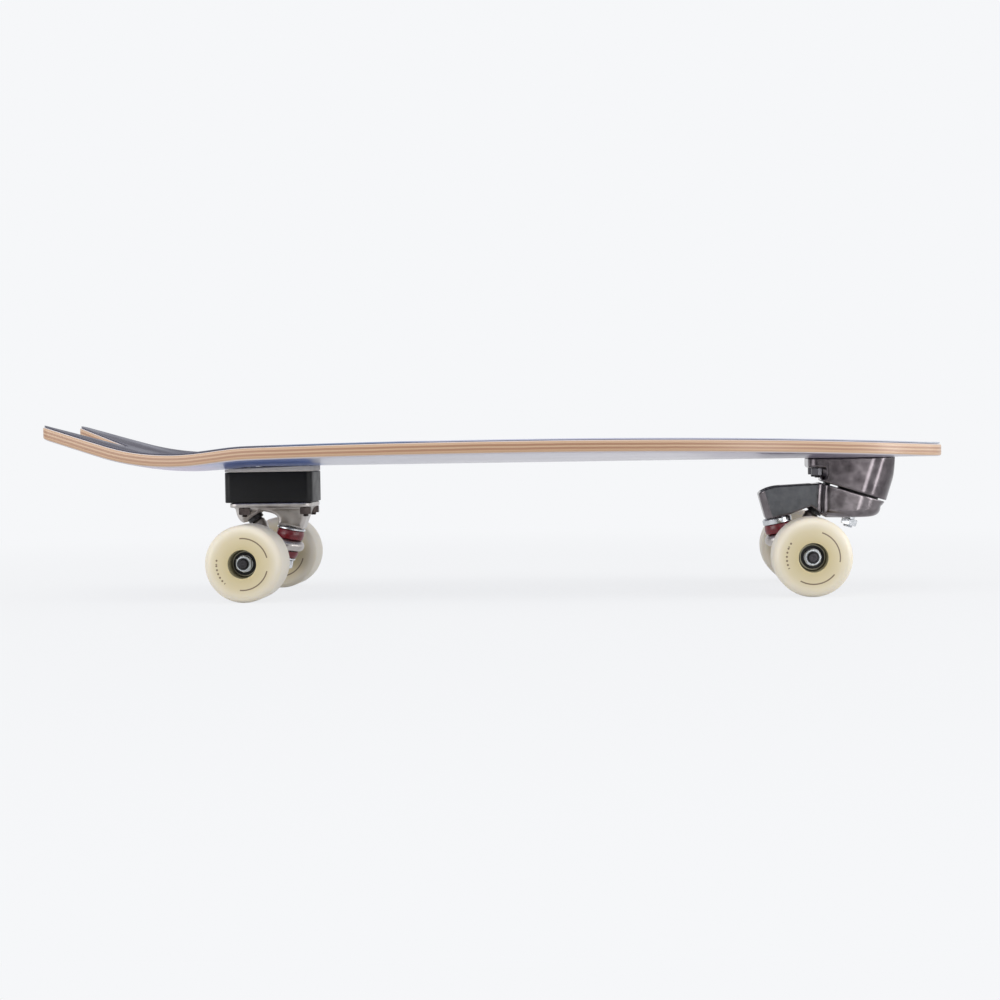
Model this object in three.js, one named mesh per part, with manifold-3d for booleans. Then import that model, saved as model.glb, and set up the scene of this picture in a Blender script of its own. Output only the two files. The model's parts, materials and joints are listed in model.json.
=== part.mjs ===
// A surf skateboard: a swallow-tailed maple deck on a fixed rear truck with a tall riser,
// and a front truck whose arm swings on an inclined pin against a torsion spring.
// Millimetres, +Z up, +X to the nose, +Y to the left rail. The origin lies on the ground
// under the middle of the deck.
import * as THREE from "three";
import { ConvexGeometry } from "three/addons/geometries/ConvexGeometry.js";
import { mergeVertices } from "three/addons/utils/BufferGeometryUtils.js";
import Module from "manifold-3d";

const wasm = await Module();
wasm.setup();

// Fits
const fit = 0.3; // clearance between two pieces that seat on each other
const overrun = 3; // how far a cutting tool passes the face it opens

// Deck
const deckLength = 770;
const deckWidth = 250;
const deckThickness = 10.5;
const deckUnderside = 113; // height of the flat middle of the underside
const flatHalfWidth = 30; // the trucks seat on this flat strip
const concaveRise = 8.5; // how much higher the rails lie than the flat strip
const widePointX = 30; // where the outline is widest
const tailTipHalfSpan = 58; // from the middle line to the point of a tail tip
const tailTipRadius = 9;
const railFlare = THREE.MathUtils.degToRad(15); // of the rail where it leaves a tail tip
const railStartHandle = 120;
const railWideHandle = 210;
const noseWideHandle = 200;
const noseEndHandle = 70;
const noseFlatHalfWidth = 12;
const notchDepth = 58;
const notchRadius = 11;
const tailDip = 3.5; // the underside drops this much ahead of the kick
const tailDipStartX = -200;
const tailDipEndX = -256; // the kick starts here
const kickRadius = 242;
const kickAngle = THREE.MathUtils.degToRad(17.75);
const concaveFadeX = -294; // the concave has half faded here
const concaveFadeLength = 114;
const concaveKickShare = 0.6; // of the concave that stays in the kick
const concavePower = 1.8; // over 1, the concave grows towards the rails
const gripThickness = 1;
const gripInset = 1.2;

// Wheels, bearings and axles
const wheelRadius = 32.5;
const wheelWidth = 51;
const wheelLipRadius = 7;
const wheelRecessMouthRadius = 13.4;
const bearingRadius = 11;
const bearingWidth = 7;
const bearingInnerRaceRadius = 6.2;
const bearingShieldRadius = 9.6;
const bearingShieldDepth = 0.4;
const bearingShoulder = 2; // height of the step that the bearing stops against
const spacerLength = 10.6;
const spacerWall = 1.3;
const axleRadius = 4;
const axleStickOut = 1.2; // how far the axle shows past its nut
const axleNutFlats = 12.7;
const axleNutHeight = 6.6;
const speedWasherRadius = 7.2;
const speedWasherThickness = 0.8;

// Where the trucks stand
const rearAxleX = -203;
const frontAxleX = 268;

// Hanger. Its frame has its origin on the axle, u points from the axle to the kingpin
const ringCentreU = 19.3;
const ringCentreW = 10.8;
const ringRadius = 14;
const ringThickness = 10;
const ringHoleRadius = 6.6;
const ringRound = 3.5;
const kingpinTilt = THREE.MathUtils.degToRad(11.5);
const pivotBallU = -13;
const pivotBallW = 39.8;
const pivotBallRadius = 4.8;
const pivotTilt = THREE.MathUtils.degToRad(33); // of the cup's axis from upright
const pivotMouth = 4.7; // from the ball's centre to the mouth of the seat that holds the cup
const pivotNeck = 9.5; // from the ball's centre to the shoulder of the post
const postRadius = 6.5;
const beamMiddleRadius = 10.5;
const beamEndRadius = 7.5;
const beamEndLength = 13; // straight end that reaches into the wheel
const wingReach = 50; // how far out along the axle the webs run
const wingRadius = 8;
const yokeHalfWidth = 20;
const postFootRadius = 9;
const postFootReach = 12;
const postWingReach = 36;
const bushingPocketRadius = 11.2; // room for the lower bushing below the ring

// Kingpin stack
const kingpinRadius = 4.75;
const kingpinHeadRadius = 7.6;
const kingpinHeadHeight = 6;
const kingpinSeatDepth = 13.4; // casting between the washer and the kingpin's head
const upperBushingHeight = 8.1;
const upperBushingRadius = 12.2;
const upperBushingBulge = 0.6;
const lowerBushingHeight = 6;
const lowerBushingTopRadius = 10;
const lowerBushingEndRadius = 8;
const rearUpperWasherThickness = 2;
const frontUpperWasherThickness = 5.5;
const cupWasherRadius = 12.6;
const lowerWasherThickness = 1.5;
const lowerWasherRadius = 8.4;
const kingpinNutFlats = 13;
const kingpinNutHeight = 7;
const kingpinTip = 2; // thread that shows below the nut
const nutChamferShare = 0.9; // of what a nut's corners stand out past its flats
const kingpinHeadAccess = 30; // reach of the cutter that opens the way to the head
const cupRimShare = 0.4; // of a cup washer's thickness

// Pivot cup
const cupWall = 2;
const cupFlare = 0.9;
const cupSkirt = 8; // from the ball's centre to the end of the skirt below the seat

// Rear riser and baseplate
const riserLength = 77.4;
const riserWidth = 54;
const riserHeight = 26.5;
const riserTop = 107.7;
const riserMiddleX = -196.4;
const riserCornerRadius = 6;
const flangeThickness = 4;
const flangeFrontU = 44.2;
const flangeBackU = -28;
const flangeWidth = 55;
const flangeCornerRadius = 7;
const lobeHalfWidth = 14.4;
const lobeDraft = 1.8; // each side of the lobes leans in by this much at the seat
const lobeReach = 11.4; // from the kingpin's axis to the edge of its seat
const archTopW = 37;
const archPull = 5;
const lobeRound = 2.4;
const lobeSetback = 3;
const pivotLobeRadius = 9.6;

// Mounting bolts
const boltPatternLength = 54;
const boltPatternWidth = 41.3;
const rearBoltMiddleX = -191.3;
const frontBoltMiddleX = 306;
const boltRadius = 2.4;
const boltHeadRadius = 4.7;
const boltHeadHeight = 2.8;
const boltHeadSink = 0.3; // the heads lie this much below the face of the grip
const boltNutFlats = 9.5;
const boltNutHeight = 6;
const boltTip = 2;
const boltThreadDepth = 6.8; // of the two bolts that screw into the front base

// Front base and swing arm, in the front truck's own frame
const swingTilt = THREE.MathUtils.degToRad(17.5);
const swingU = -47.5; // where the pin crosses the joint face
const swingW = 50;
const swingFaceGap = 1.5;
const drumHalfWidth = 27;
const drumNoseReach = 25; // from the pin to the nose end of the drum
const drumTailReach = 33.5; // from the pin to the tail end of the drum
const drumTailRound = 4;
const baseFlangeThickness = 8.4;
const baseFlangeBackU = -3.2;
const baseNoseU = -78;
const baseCornerRadius = 8;
const nutScoopRadius = 9.5;
const nutScoopShare = 0.4; // of its radius, from the flange down to the scoop's centre
const baseWidth = 55;
const baseFilletPull = 7;
const springCavityRadius = 11;
const springCavityDepth = 17;
const springTurns = 4;
const springWire = 2.6;
const springCoilRadius = 8.7;
const pinRadius = 6;
const pinHeadRadius = 9.2;
const pinHeadHeight = 5.5;
const pinHeadDepth = 21; // from the joint face to the underside of the pin's head
const pinThreadRadius = 4;
const thrustRingRadius = 18;
const swingBushRadius = 9;
const swingBushLength = 16;
const armHalfWidth = 17.5;
const armCornerRadius = 7.5;
const armTopW = 58.4; // where the arm leaves the drum
const armCrownU = 18; // from here the top rounds down to the end
const armCrownW = 56.8;
const armCrownPull = 10;
const armEndU = 39.4;
const armEndTopW = 49.8;
const armEndPull = 3.6;
const armEndTilt = THREE.MathUtils.degToRad(16.3);
const armWebReach = 5.5; // from the cup's axis to where the lower edge meets its mouth
const drumBottomW = 29;
const drumBottomRound = 14;
const drumKeel = 2;
const swingNutFlats = 13;
const swingNutHeight = 5.5;
const swingNutSeat = 23.6; // from the joint face to the nut's seat
const swingNutPocketRadius = 10;

// Facets
const roundSides = 16;
const wheelSides = 24;
const fineSides = 12;
const bearingSides = 12;
const boltSides = 8;
const filletSteps = 3;
const curveSteps = 5;
const railSteps = 10;
const drumSteps = 10;
const drumTailSteps = 2;
const wireSteps = 3; // in each quarter of the spring's wire
const hexagonSides = 6;
const tailStations = 10;
const concaveStations = 3;
const padStations = 3;
const coilSteps = 8;

// Derived places
const axleHeight = wheelRadius;
const halfLength = deckLength / 2;
const halfWidth = deckWidth / 2;
const wheelCore = spacerLength / 2 + bearingWidth; // from the wheel's middle to a bearing's face
const hangerHalfLength = 76.5;
const wheelMiddleY = hangerHalfLength + fit + wheelCore;
const nutFaceY = wheelMiddleY + wheelCore + fit;
const axleHalfLength = nutFaceY + speedWasherThickness + axleNutHeight + axleStickOut;
const flangeTopW = riserTop - riserHeight - fit - axleHeight;
const baseTopW = deckUnderside - fit - axleHeight;
const upperStack = ringThickness / 2 + upperBushingHeight + 3 * fit;
const rearSeatHeight = upperStack + rearUpperWasherThickness;
const frontSeatHeight = upperStack + frontUpperWasherThickness;
const lowerStack = ringThickness / 2 + lowerBushingHeight + lowerWasherThickness + 3 * fit;
const kingpinDrop = lowerStack + kingpinNutHeight + kingpinTip;

const up = new THREE.Vector3(0, 0, 1);
const side = new THREE.Vector3(0, 1, 0);
const kingpinAxis = new THREE.Vector3(Math.sin(kingpinTilt), 0, Math.cos(kingpinTilt));
const cupAxis = new THREE.Vector3(-Math.sin(pivotTilt), 0, Math.cos(pivotTilt));
const swingAxis = new THREE.Vector3(-Math.sin(swingTilt), 0, Math.cos(swingTilt));
const ringCentre = new THREE.Vector3(ringCentreU, 0, ringCentreW);
const pivotBall = new THREE.Vector3(pivotBallU, 0, pivotBallW);
const swingCentre = new THREE.Vector3(swingU, 0, swingW);

// Finishes
const finish = {
  maple: new THREE.MeshStandardMaterial({ color: 0xc8966c, roughness: 0.55 }),
  grip: new THREE.MeshStandardMaterial({ color: 0x9fb0d0, roughness: 0.9 }),
  urethane: new THREE.MeshStandardMaterial({ color: 0xe8e0c4, roughness: 0.45 }),
  bushing: new THREE.MeshStandardMaterial({ color: 0x6b1020, roughness: 0.4 }),
  casting: new THREE.MeshStandardMaterial({ color: 0xa9a5a2, roughness: 0.4, metalness: 0.9 }),
  gunmetal: new THREE.MeshStandardMaterial({ color: 0x6f6a6d, roughness: 0.3, metalness: 0.9 }),
  steel: new THREE.MeshStandardMaterial({ color: 0xc9ccd0, roughness: 0.25, metalness: 1 }),
  blackPlastic: new THREE.MeshStandardMaterial({ color: 0x1b181d, roughness: 0.5 }),
  greyRubber: new THREE.MeshStandardMaterial({ color: 0xada9a5, roughness: 0.8 }),
  blackRubber: new THREE.MeshStandardMaterial({ color: 0x161616, roughness: 0.7 }),
  bearingSteel: new THREE.MeshStandardMaterial({ color: 0x8d8a80, roughness: 0.3, metalness: 1 }),
};

// Shape helpers

// A closed geometry as a solid that can be joined and cut.
function solidOf(geometry) {
  const bare = geometry.clone();
  bare.deleteAttribute("normal");
  bare.deleteAttribute("uv");
  const merged = mergeVertices(bare, 1e-4);
  return new wasm.Manifold(
    new wasm.Mesh({
      numProp: 3,
      vertProperties: merged.attributes.position.array,
      triVerts: new Uint32Array(merged.index.array),
    }),
  );
}

// A solid as a geometry, with flat-shaded faces.
function geometryOf(solid) {
  const mesh = solid.getMesh();
  const geometry = new THREE.BufferGeometry();
  geometry.setAttribute("position", new THREE.BufferAttribute(new Float32Array(mesh.vertProperties), 3));
  geometry.setIndex(new THREE.BufferAttribute(new Uint32Array(mesh.triVerts), 1));
  geometry.computeVertexNormals();
  return geometry;
}

function join(...geometries) {
  const solids = geometries.map(solidOf);
  return geometryOf(solids.reduce((all, one) => all.add(one)));
}

function cut(geometry, ...tools) {
  const solids = tools.map(solidOf);
  return geometryOf(solids.reduce((rest, tool) => rest.subtract(tool), solidOf(geometry)));
}

function common(...geometries) {
  const solids = geometries.map(solidOf);
  return geometryOf(solids.reduce((all, one) => all.intersect(one)));
}

// Turns the local Z axis to the given axis and moves the origin to the given place.
function along(geometry, axis, place = new THREE.Vector3()) {
  const turn = new THREE.Quaternion().setFromUnitVectors(up, axis);
  return geometry.clone().applyQuaternion(turn).translate(place.x, place.y, place.z);
}

// A revolve about Z. The profile lists [radius, height] upwards along the outside.
function revolve(profile, sides) {
  const points = profile.map(([radius, height]) => new THREE.Vector2(radius, height));
  return new THREE.LatheGeometry(points, sides).rotateX(Math.PI / 2);
}

// A solid rod between two heights.
function rod(radius, bottom, top, sides = roundSides) {
  return revolve([[0, bottom], [radius, bottom], [radius, top], [0, top]], sides);
}

// A tube between two heights.
function tube(inner, outer, bottom, top, sides = roundSides) {
  return revolve([[inner, bottom], [outer, bottom], [outer, top], [inner, top], [inner, bottom]], sides);
}

// The points of an arc in a profile, both ends included.
function arc(centreX, centreY, radius, start, end, steps = filletSteps) {
  return Array.from({ length: steps + 1 }, (_, i) => {
    const angle = start + ((end - start) * i) / steps;
    return [centreX + radius * Math.cos(angle), centreY + radius * Math.sin(angle)];
  });
}

function shapeOf(points) {
  return new THREE.Shape(points.map(([x, y]) => new THREE.Vector2(x, y)));
}

// An outline in the XY plane, extruded upwards.
function plate(points, bottom, top) {
  const geometry = new THREE.ExtrudeGeometry(shapeOf(points), { depth: top - bottom, bevelEnabled: false });
  return geometry.translate(0, 0, bottom);
}

// A side profile in the XZ plane, extruded equally to both sides.
function slice(points, reach) {
  const geometry = new THREE.ExtrudeGeometry(shapeOf(points), { depth: 2 * reach, bevelEnabled: false });
  return geometry.rotateX(Math.PI / 2).translate(0, reach, 0);
}

// The outline of a rectangle with round corners.
function roundedRectangle(left, right, reach, radius) {
  const quarter = Math.PI / 2;
  return [
    ...arc(right - radius, reach - radius, radius, 0, quarter),
    ...arc(left + radius, reach - radius, radius, quarter, 2 * quarter),
    ...arc(left + radius, radius - reach, radius, 2 * quarter, 3 * quarter),
    ...arc(right - radius, radius - reach, radius, 3 * quarter, 4 * quarter),
  ];
}

// A hexagon nut on Z with chamfered corners and a bore.
function hexNut(flats, height, bore) {
  const half = flats / 2;
  const corner = flats / Math.sqrt(3);
  const chamfer = (corner - half) * nutChamferShare;
  const hexagon = rod(corner, 0, height, hexagonSides);
  const lathe = revolve(
    [[0, 0], [half, 0], [corner, chamfer], [corner, height - chamfer], [half, height], [0, height]],
    fineSides,
  );
  return cut(common(hexagon, lathe), rod(bore, -overrun, height + overrun, fineSides));
}

// Deck surfaces

// The height of the deck's underside on the middle line.
function undersideAt(x) {
  const dip = THREE.MathUtils.clamp((tailDipStartX - x) / (tailDipStartX - tailDipEndX), 0, 1);
  const run = Math.max(0, tailDipEndX - x);
  const arcRun = kickRadius * Math.sin(kickAngle);
  const bend = Math.min(run, arcRun);
  const bendRise = kickRadius - Math.sqrt(kickRadius ** 2 - bend ** 2);
  const straightRise = (run - bend) * Math.tan(kickAngle);
  return deckUnderside - tailDip * dip * dip * (3 - 2 * dip) + bendRise + straightRise;
}

// The slope angle of the underside, by which the deck's upright thickness grows.
function slopeAt(x) {
  const run = Math.max(0, tailDipEndX - x);
  return Math.min(Math.asin(Math.min(1, run / kickRadius)), kickAngle);
}

// How far the pressed concave lifts the deck at a distance from the middle line.
function concaveAt(x, y) {
  const share = Math.max(0, Math.abs(y) - flatHalfWidth) / (halfWidth - flatHalfWidth);
  const faded = THREE.MathUtils.smoothstep(concaveFadeX + concaveFadeLength / 2 - x, 0, concaveFadeLength);
  return concaveRise * (1 - (1 - concaveKickShare) * faded) * share ** concavePower;
}

function deckTopAt(x, y = 0) {
  return undersideAt(x) + concaveAt(x, y) + deckThickness / Math.cos(slopeAt(x));
}

// The plan outline with its blunt nose and swallow tail, drawn in by an inset.
function deckOutline(inset) {
  const tip = new THREE.Vector2(tailTipRadius - halfLength, tailTipHalfSpan);
  const crotch = new THREE.Vector2(notchDepth - notchRadius - halfLength, 0);
  const tipReach = tailTipRadius - inset;
  const crotchReach = notchRadius + inset;
  // The straight edge of the notch touches the round of the tip and the round of the crotch.
  const between = tip.clone().sub(crotch);
  const edge = between.angle() - Math.acos((tipReach + crotchReach) / between.length());
  const railStart = Math.PI / 2 + railFlare;
  const tipRound = [
    ...arc(tip.x, tip.y, tipReach, edge + Math.PI, Math.PI),
    ...arc(tip.x, tip.y, tipReach, Math.PI, railStart).slice(1),
  ];
  const start = new THREE.Vector2(...tipRound.at(-1));
  const flare = new THREE.Vector2(Math.cos(railFlare), Math.sin(railFlare));
  const tailRail = new THREE.CubicBezierCurve(
    start,
    start.clone().addScaledVector(flare, railStartHandle),
    new THREE.Vector2(widePointX - railWideHandle, halfWidth - inset),
    new THREE.Vector2(widePointX, halfWidth - inset),
  );
  const noseRail = new THREE.CubicBezierCurve(
    new THREE.Vector2(widePointX, halfWidth - inset),
    new THREE.Vector2(widePointX + noseWideHandle, halfWidth - inset),
    new THREE.Vector2(halfLength - inset, noseFlatHalfWidth + noseEndHandle),
    new THREE.Vector2(halfLength - inset, noseFlatHalfWidth),
  );
  const left = [
    ...arc(crotch.x, crotch.y, crotchReach, 0, edge).slice(1),
    ...tipRound,
    ...tailRail.getPoints(railSteps).slice(1).map((point) => [point.x, point.y]),
    ...noseRail.getPoints(railSteps).slice(1).map((point) => [point.x, point.y]),
  ];
  const right = left.map(([x, y]) => [x, -y]).reverse();
  return [...right, [crotch.x + crotchReach, 0], ...left].reverse();
}

// A sheet between two height functions, wider and longer than the deck.
function pressedSheet(bottomAt, topAt) {
  const columns = [
    ...Array.from({ length: tailStations }, (_, i) => {
      return -halfLength - overrun + ((tailDipStartX + halfLength + overrun) * i) / tailStations;
    }),
    tailDipStartX,
    widePointX,
    halfLength + overrun,
  ];
  const rise = Array.from({ length: concaveStations + 1 }, (_, i) => {
    return flatHalfWidth + ((halfWidth + overrun - flatHalfWidth) * i) / concaveStations;
  });
  const rows = [...rise.map((y) => -y).reverse(), ...rise];
  const corners = [];
  for (const heightAt of [bottomAt, topAt]) {
    for (const x of columns) {
      for (const y of rows) corners.push(x, y, heightAt(x, y));
    }
  }
  // Both faces are split along the same diagonals, so stacked sheets lie parallel.
  const layer = columns.length * rows.length;
  const low = (i, j) => i * rows.length + j;
  const high = (i, j) => layer + low(i, j);
  const faces = [];
  for (let i = 0; i < columns.length - 1; i += 1) {
    for (let j = 0; j < rows.length - 1; j += 1) {
      faces.push(high(i, j), high(i + 1, j), high(i + 1, j + 1));
      faces.push(high(i, j), high(i + 1, j + 1), high(i, j + 1));
      faces.push(low(i, j), low(i + 1, j + 1), low(i + 1, j));
      faces.push(low(i, j), low(i, j + 1), low(i + 1, j + 1));
    }
  }
  const wall = (i, j, k, l) => {
    faces.push(low(i, j), low(k, l), high(k, l));
    faces.push(low(i, j), high(k, l), high(i, j));
  };
  const lastRow = rows.length - 1;
  const lastColumn = columns.length - 1;
  for (let i = 0; i < lastColumn; i += 1) {
    wall(i, 0, i + 1, 0);
    wall(i + 1, lastRow, i, lastRow);
  }
  for (let j = 0; j < lastRow; j += 1) {
    wall(lastColumn, j, lastColumn, j + 1);
    wall(0, j + 1, 0, j);
  }
  const sheet = new THREE.BufferGeometry();
  sheet.setAttribute("position", new THREE.Float32BufferAttribute(corners, 3));
  return sheet.setIndex(faces);
}

// Where the eight mounting bolts pass.
function boltPlaces() {
  const places = [];
  for (const [truck, middleX] of [["rear", rearBoltMiddleX], ["front", frontBoltMiddleX]]) {
    for (const [end, along] of [["tail", -1], ["nose", 1]]) {
      for (const [rail, across] of [["left", 1], ["right", -1]]) {
        const x = middleX + (along * boltPatternLength) / 2;
        const y = (across * boltPatternWidth) / 2;
        places.push({ name: `${truck}_mounting_bolt_${end}_${rail}`, truck, end, x, y });
      }
    }
  }
  return places;
}

// The height of a bolt's head, just below the face of the grip.
function boltTopAt(x) {
  return deckTopAt(x) + fit + gripThickness - boltHeadSink;
}

// A cutter for one bolt, down to a depth below its head.
function boltHole(place, bottom) {
  const top = boltTopAt(place.x);
  const hole = revolve(
    [
      [0, bottom],
      [boltRadius + fit, bottom],
      [boltRadius + fit, top - boltHeadHeight],
      [boltHeadRadius + fit, top],
      [boltHeadRadius + fit, top + overrun],
      [0, top + overrun],
    ],
    boltSides,
  );
  return hole.translate(place.x, place.y, 0);
}

// Seven plies of maple pressed to the concave and the kick, then cut to the outline.
function deck() {
  const sheet = pressedSheet((x, y) => undersideAt(x) + concaveAt(x, y), deckTopAt);
  const outline = plate(deckOutline(0), 0, 2 * deckUnderside);
  return cut(common(sheet, outline), ...boltPlaces().map((place) => boltHole(place, 0)));
}

function gripTape() {
  const bottom = (x, y) => deckTopAt(x, y) + fit;
  const sheet = pressedSheet(bottom, (x, y) => bottom(x, y) + gripThickness);
  const outline = plate(deckOutline(gripInset), 0, 2 * deckUnderside);
  return cut(common(sheet, outline), ...boltPlaces().map((place) => boltHole(place, 0)));
}

// A countersunk bolt with its lock nut, or without one where it screws into a casting.
function mountingBolt(place) {
  const top = boltTopAt(place.x);
  const threaded = place.truck === "front" && place.end === "nose";
  const rearSeat = riserTop - riserHeight - fit - flangeThickness;
  const frontSeat = deckUnderside - fit - baseFlangeThickness;
  const nutTop = (place.truck === "rear" ? rearSeat : frontSeat) - fit;
  const bottom = threaded ? deckUnderside - boltThreadDepth : nutTop - boltNutHeight - boltTip;
  const neck = top - boltHeadHeight;
  const bolt = revolve(
    [[0, bottom], [boltRadius, bottom], [boltRadius, neck], [boltHeadRadius, top], [0, top]],
    boltSides,
  );
  if (threaded) return bolt.translate(place.x, place.y, 0);
  const nut = rod(boltNutFlats / Math.sqrt(3), nutTop - boltNutHeight, nutTop, hexagonSides);
  return join(bolt, nut).translate(place.x, place.y, 0);
}

// Rear riser

// A thin wedge of rubber that fills the dip of the underside, so the riser below stays level.
function shockPad() {
  const back = riserMiddleX - riserLength / 2;
  const ribs = Array.from({ length: padStations + 1 }, (_, i) => {
    const x = back + (riserLength * i) / padStations;
    return [x, undersideAt(x) - fit];
  });
  const bottom = riserTop + fit;
  const profile = [[back, bottom], ...ribs, [back + riserLength, bottom]].reverse();
  const outline = roundedRectangle(back, back + riserLength, riserWidth / 2, riserCornerRadius);
  return cut(common(slice(profile, riserWidth), plate(outline, 0, deckUnderside)), ...rearBoltHoles());
}

function rearBoltHoles() {
  return boltPlaces().filter((place) => place.truck === "rear").map((place) => boltHole(place, 0));
}

function riser() {
  const back = riserMiddleX - riserLength / 2;
  const outline = roundedRectangle(back, back + riserLength, riserWidth / 2, riserCornerRadius);
  return cut(plate(outline, riserTop - riserHeight, riserTop), ...rearBoltHoles());
}

// Truck pieces, in the truck's own frame

function kingpinPoint(height, reach = 0) {
  const across = new THREE.Vector3(Math.cos(kingpinTilt), 0, -Math.sin(kingpinTilt));
  return ringCentre.clone().addScaledVector(kingpinAxis, height).addScaledVector(across, reach);
}

function pivotPoint(depth, reach = 0) {
  const across = new THREE.Vector3(Math.cos(pivotTilt), 0, Math.sin(pivotTilt));
  return pivotBall.clone().addScaledVector(cupAxis, -depth).addScaledVector(across, reach);
}

function jointPoint(reach, height = 0) {
  const across = new THREE.Vector3(Math.cos(swingTilt), 0, Math.sin(swingTilt));
  return swingCentre.clone().addScaledVector(swingAxis, height).addScaledVector(across, reach);
}

// A point of a side profile.
function flat(point) {
  return [point.x, point.z];
}

// A smooth stretch of a side profile between two points, pulled towards two others.
function curve(from, pullFrom, pullTo, to, steps = curveSteps) {
  const corners = [from, pullFrom, pullTo, to].map(([u, w]) => new THREE.Vector2(u, w));
  return new THREE.CubicBezierCurve(...corners).getPoints(steps).map((point) => [point.x, point.y]);
}

// The points of a circle, for a hull.
function disc(radius, centre, axis, sides = fineSides) {
  const turn = new THREE.Quaternion().setFromUnitVectors(up, axis);
  return Array.from({ length: sides }, (_, i) => {
    const angle = (2 * Math.PI * i) / sides;
    const point = new THREE.Vector3(radius * Math.cos(angle), radius * Math.sin(angle), 0);
    return point.applyQuaternion(turn).add(centre);
  });
}

function hull(...rings) {
  return new ConvexGeometry(rings.flat());
}

// The cast hanger: a tapered beam round the axle, a ring for the kingpin, webs between
// them, and a post that ends in the ball of the pivot.
function hanger() {
  const half = ringThickness / 2;
  const taperStart = hangerHalfLength - beamEndLength;
  const beam = revolve(
    [
      [0, -hangerHalfLength],
      [beamEndRadius, -hangerHalfLength],
      [beamEndRadius, -taperStart],
      [beamMiddleRadius, -yokeHalfWidth],
      [beamMiddleRadius, yokeHalfWidth],
      [beamEndRadius, taperStart],
      [beamEndRadius, hangerHalfLength],
      [0, hangerHalfLength],
    ],
    roundSides,
  );
  const ring = revolve(
    [
      [0, -half],
      [ringRadius - ringRound, -half],
      ...arc(ringRadius - ringRound, ringRound - half, ringRound, -Math.PI / 2, 0).slice(1),
      ...arc(ringRadius - ringRound, half - ringRound, ringRound, 0, Math.PI / 2),
      [0, half],
    ],
    roundSides,
  );
  const neck = pivotPoint(pivotNeck);
  const stem = revolve(
    [
      [0, -pivotNeck - postRadius],
      [pivotBallRadius, -pivotNeck - postRadius],
      ...arc(0, 0, pivotBallRadius, 0, Math.PI / 2, 2 * filletSteps),
    ],
    fineSides,
  );
  const shapes = [
    along(beam, side),
    along(ring, kingpinAxis, ringCentre),
    along(stem, cupAxis, pivotBall),
  ];
  const ringInner = disc(ringRadius - ringRound, kingpinPoint(half - ringRound), kingpinAxis);
  const ringOuter = disc(ringRadius - ringRound, kingpinPoint(ringRound - half), kingpinAxis);
  const beamDisc = (radius, y) => disc(radius, new THREE.Vector3(0, y, 0), side);
  const yokeEnds = [beamDisc(beamMiddleRadius, yokeHalfWidth), beamDisc(beamMiddleRadius, -yokeHalfWidth)];
  shapes.push(hull(ringInner, ringOuter, ...yokeEnds));
  const footEnds = [beamDisc(postFootRadius, postFootReach), beamDisc(postFootRadius, -postFootReach)];
  shapes.push(hull(disc(postRadius, neck, cupAxis), ...footEnds));
  shapes.push(hull(ringInner, beamDisc(wingRadius, wingReach), beamDisc(wingRadius, -wingReach)));
  const postWaist = disc(postRadius, pivotPoint(pivotNeck + postRadius), cupAxis);
  shapes.push(hull(postWaist, beamDisc(wingRadius, postWingReach), beamDisc(wingRadius, -postWingReach)));
  const pocketTop = -half;
  return cut(
    join(...shapes),
    along(rod(ringHoleRadius, -2 * ringThickness, 2 * ringThickness), kingpinAxis, ringCentre),
    along(rod(bushingPocketRadius, -kingpinDrop - overrun, pocketTop), kingpinAxis, ringCentre),
    along(rod(axleRadius + fit, -hangerHalfLength - overrun, hangerHalfLength + overrun, fineSides), side),
  );
}

// The kingpin's round-cornered hexagon head, shank and thread.
function kingpin(seatHeight) {
  const headBottom = seatHeight + kingpinSeatDepth + fit;
  const shank = rod(kingpinRadius, -kingpinDrop, headBottom + kingpinHeadHeight / 2, fineSides);
  const head = rod(kingpinHeadRadius, headBottom, headBottom + kingpinHeadHeight, hexagonSides);
  return along(join(shank, head), kingpinAxis, ringCentre);
}

// A washer with a rim that holds the end of the bushing.
function cupWasher(radius, thickness) {
  const rim = thickness * cupRimShare;
  return [
    [kingpinRadius + fit, 0],
    [radius - rim, 0],
    [radius, rim],
    [radius, thickness],
    [kingpinRadius + fit, thickness],
    [kingpinRadius + fit, 0],
  ];
}

function upperBushing() {
  const bottom = ringThickness / 2 + fit;
  const top = bottom + upperBushingHeight;
  const bushing = revolve(
    [
      [kingpinRadius + fit, bottom],
      [upperBushingRadius - upperBushingBulge, bottom],
      [upperBushingRadius, (bottom + top) / 2],
      [upperBushingRadius - upperBushingBulge, top],
      [kingpinRadius + fit, top],
      [kingpinRadius + fit, bottom],
    ],
    roundSides,
  );
  return along(bushing, kingpinAxis, ringCentre);
}

function lowerBushing() {
  const top = -ringThickness / 2 - fit;
  const bottom = top - lowerBushingHeight;
  const bushing = revolve(
    [
      [kingpinRadius + fit, bottom],
      [lowerBushingEndRadius, bottom],
      [lowerBushingTopRadius, top],
      [kingpinRadius + fit, top],
      [kingpinRadius + fit, bottom],
    ],
    roundSides,
  );
  return along(bushing, kingpinAxis, ringCentre);
}

// The urethane socket that the hanger's ball sits in.
function pivotCup() {
  const inner = pivotBallRadius + fit;
  const outer = inner + cupWall;
  const cup = revolve(
    [
      ...arc(0, 0, inner, Math.PI / 2, 0, 2 * filletSteps),
      [inner + cupFlare, -cupSkirt],
      [outer, -cupSkirt],
      ...arc(0, 0, outer, 0, Math.PI / 2),
    ],
    fineSides,
  );
  return along(cup, cupAxis, pivotBall);
}

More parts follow.
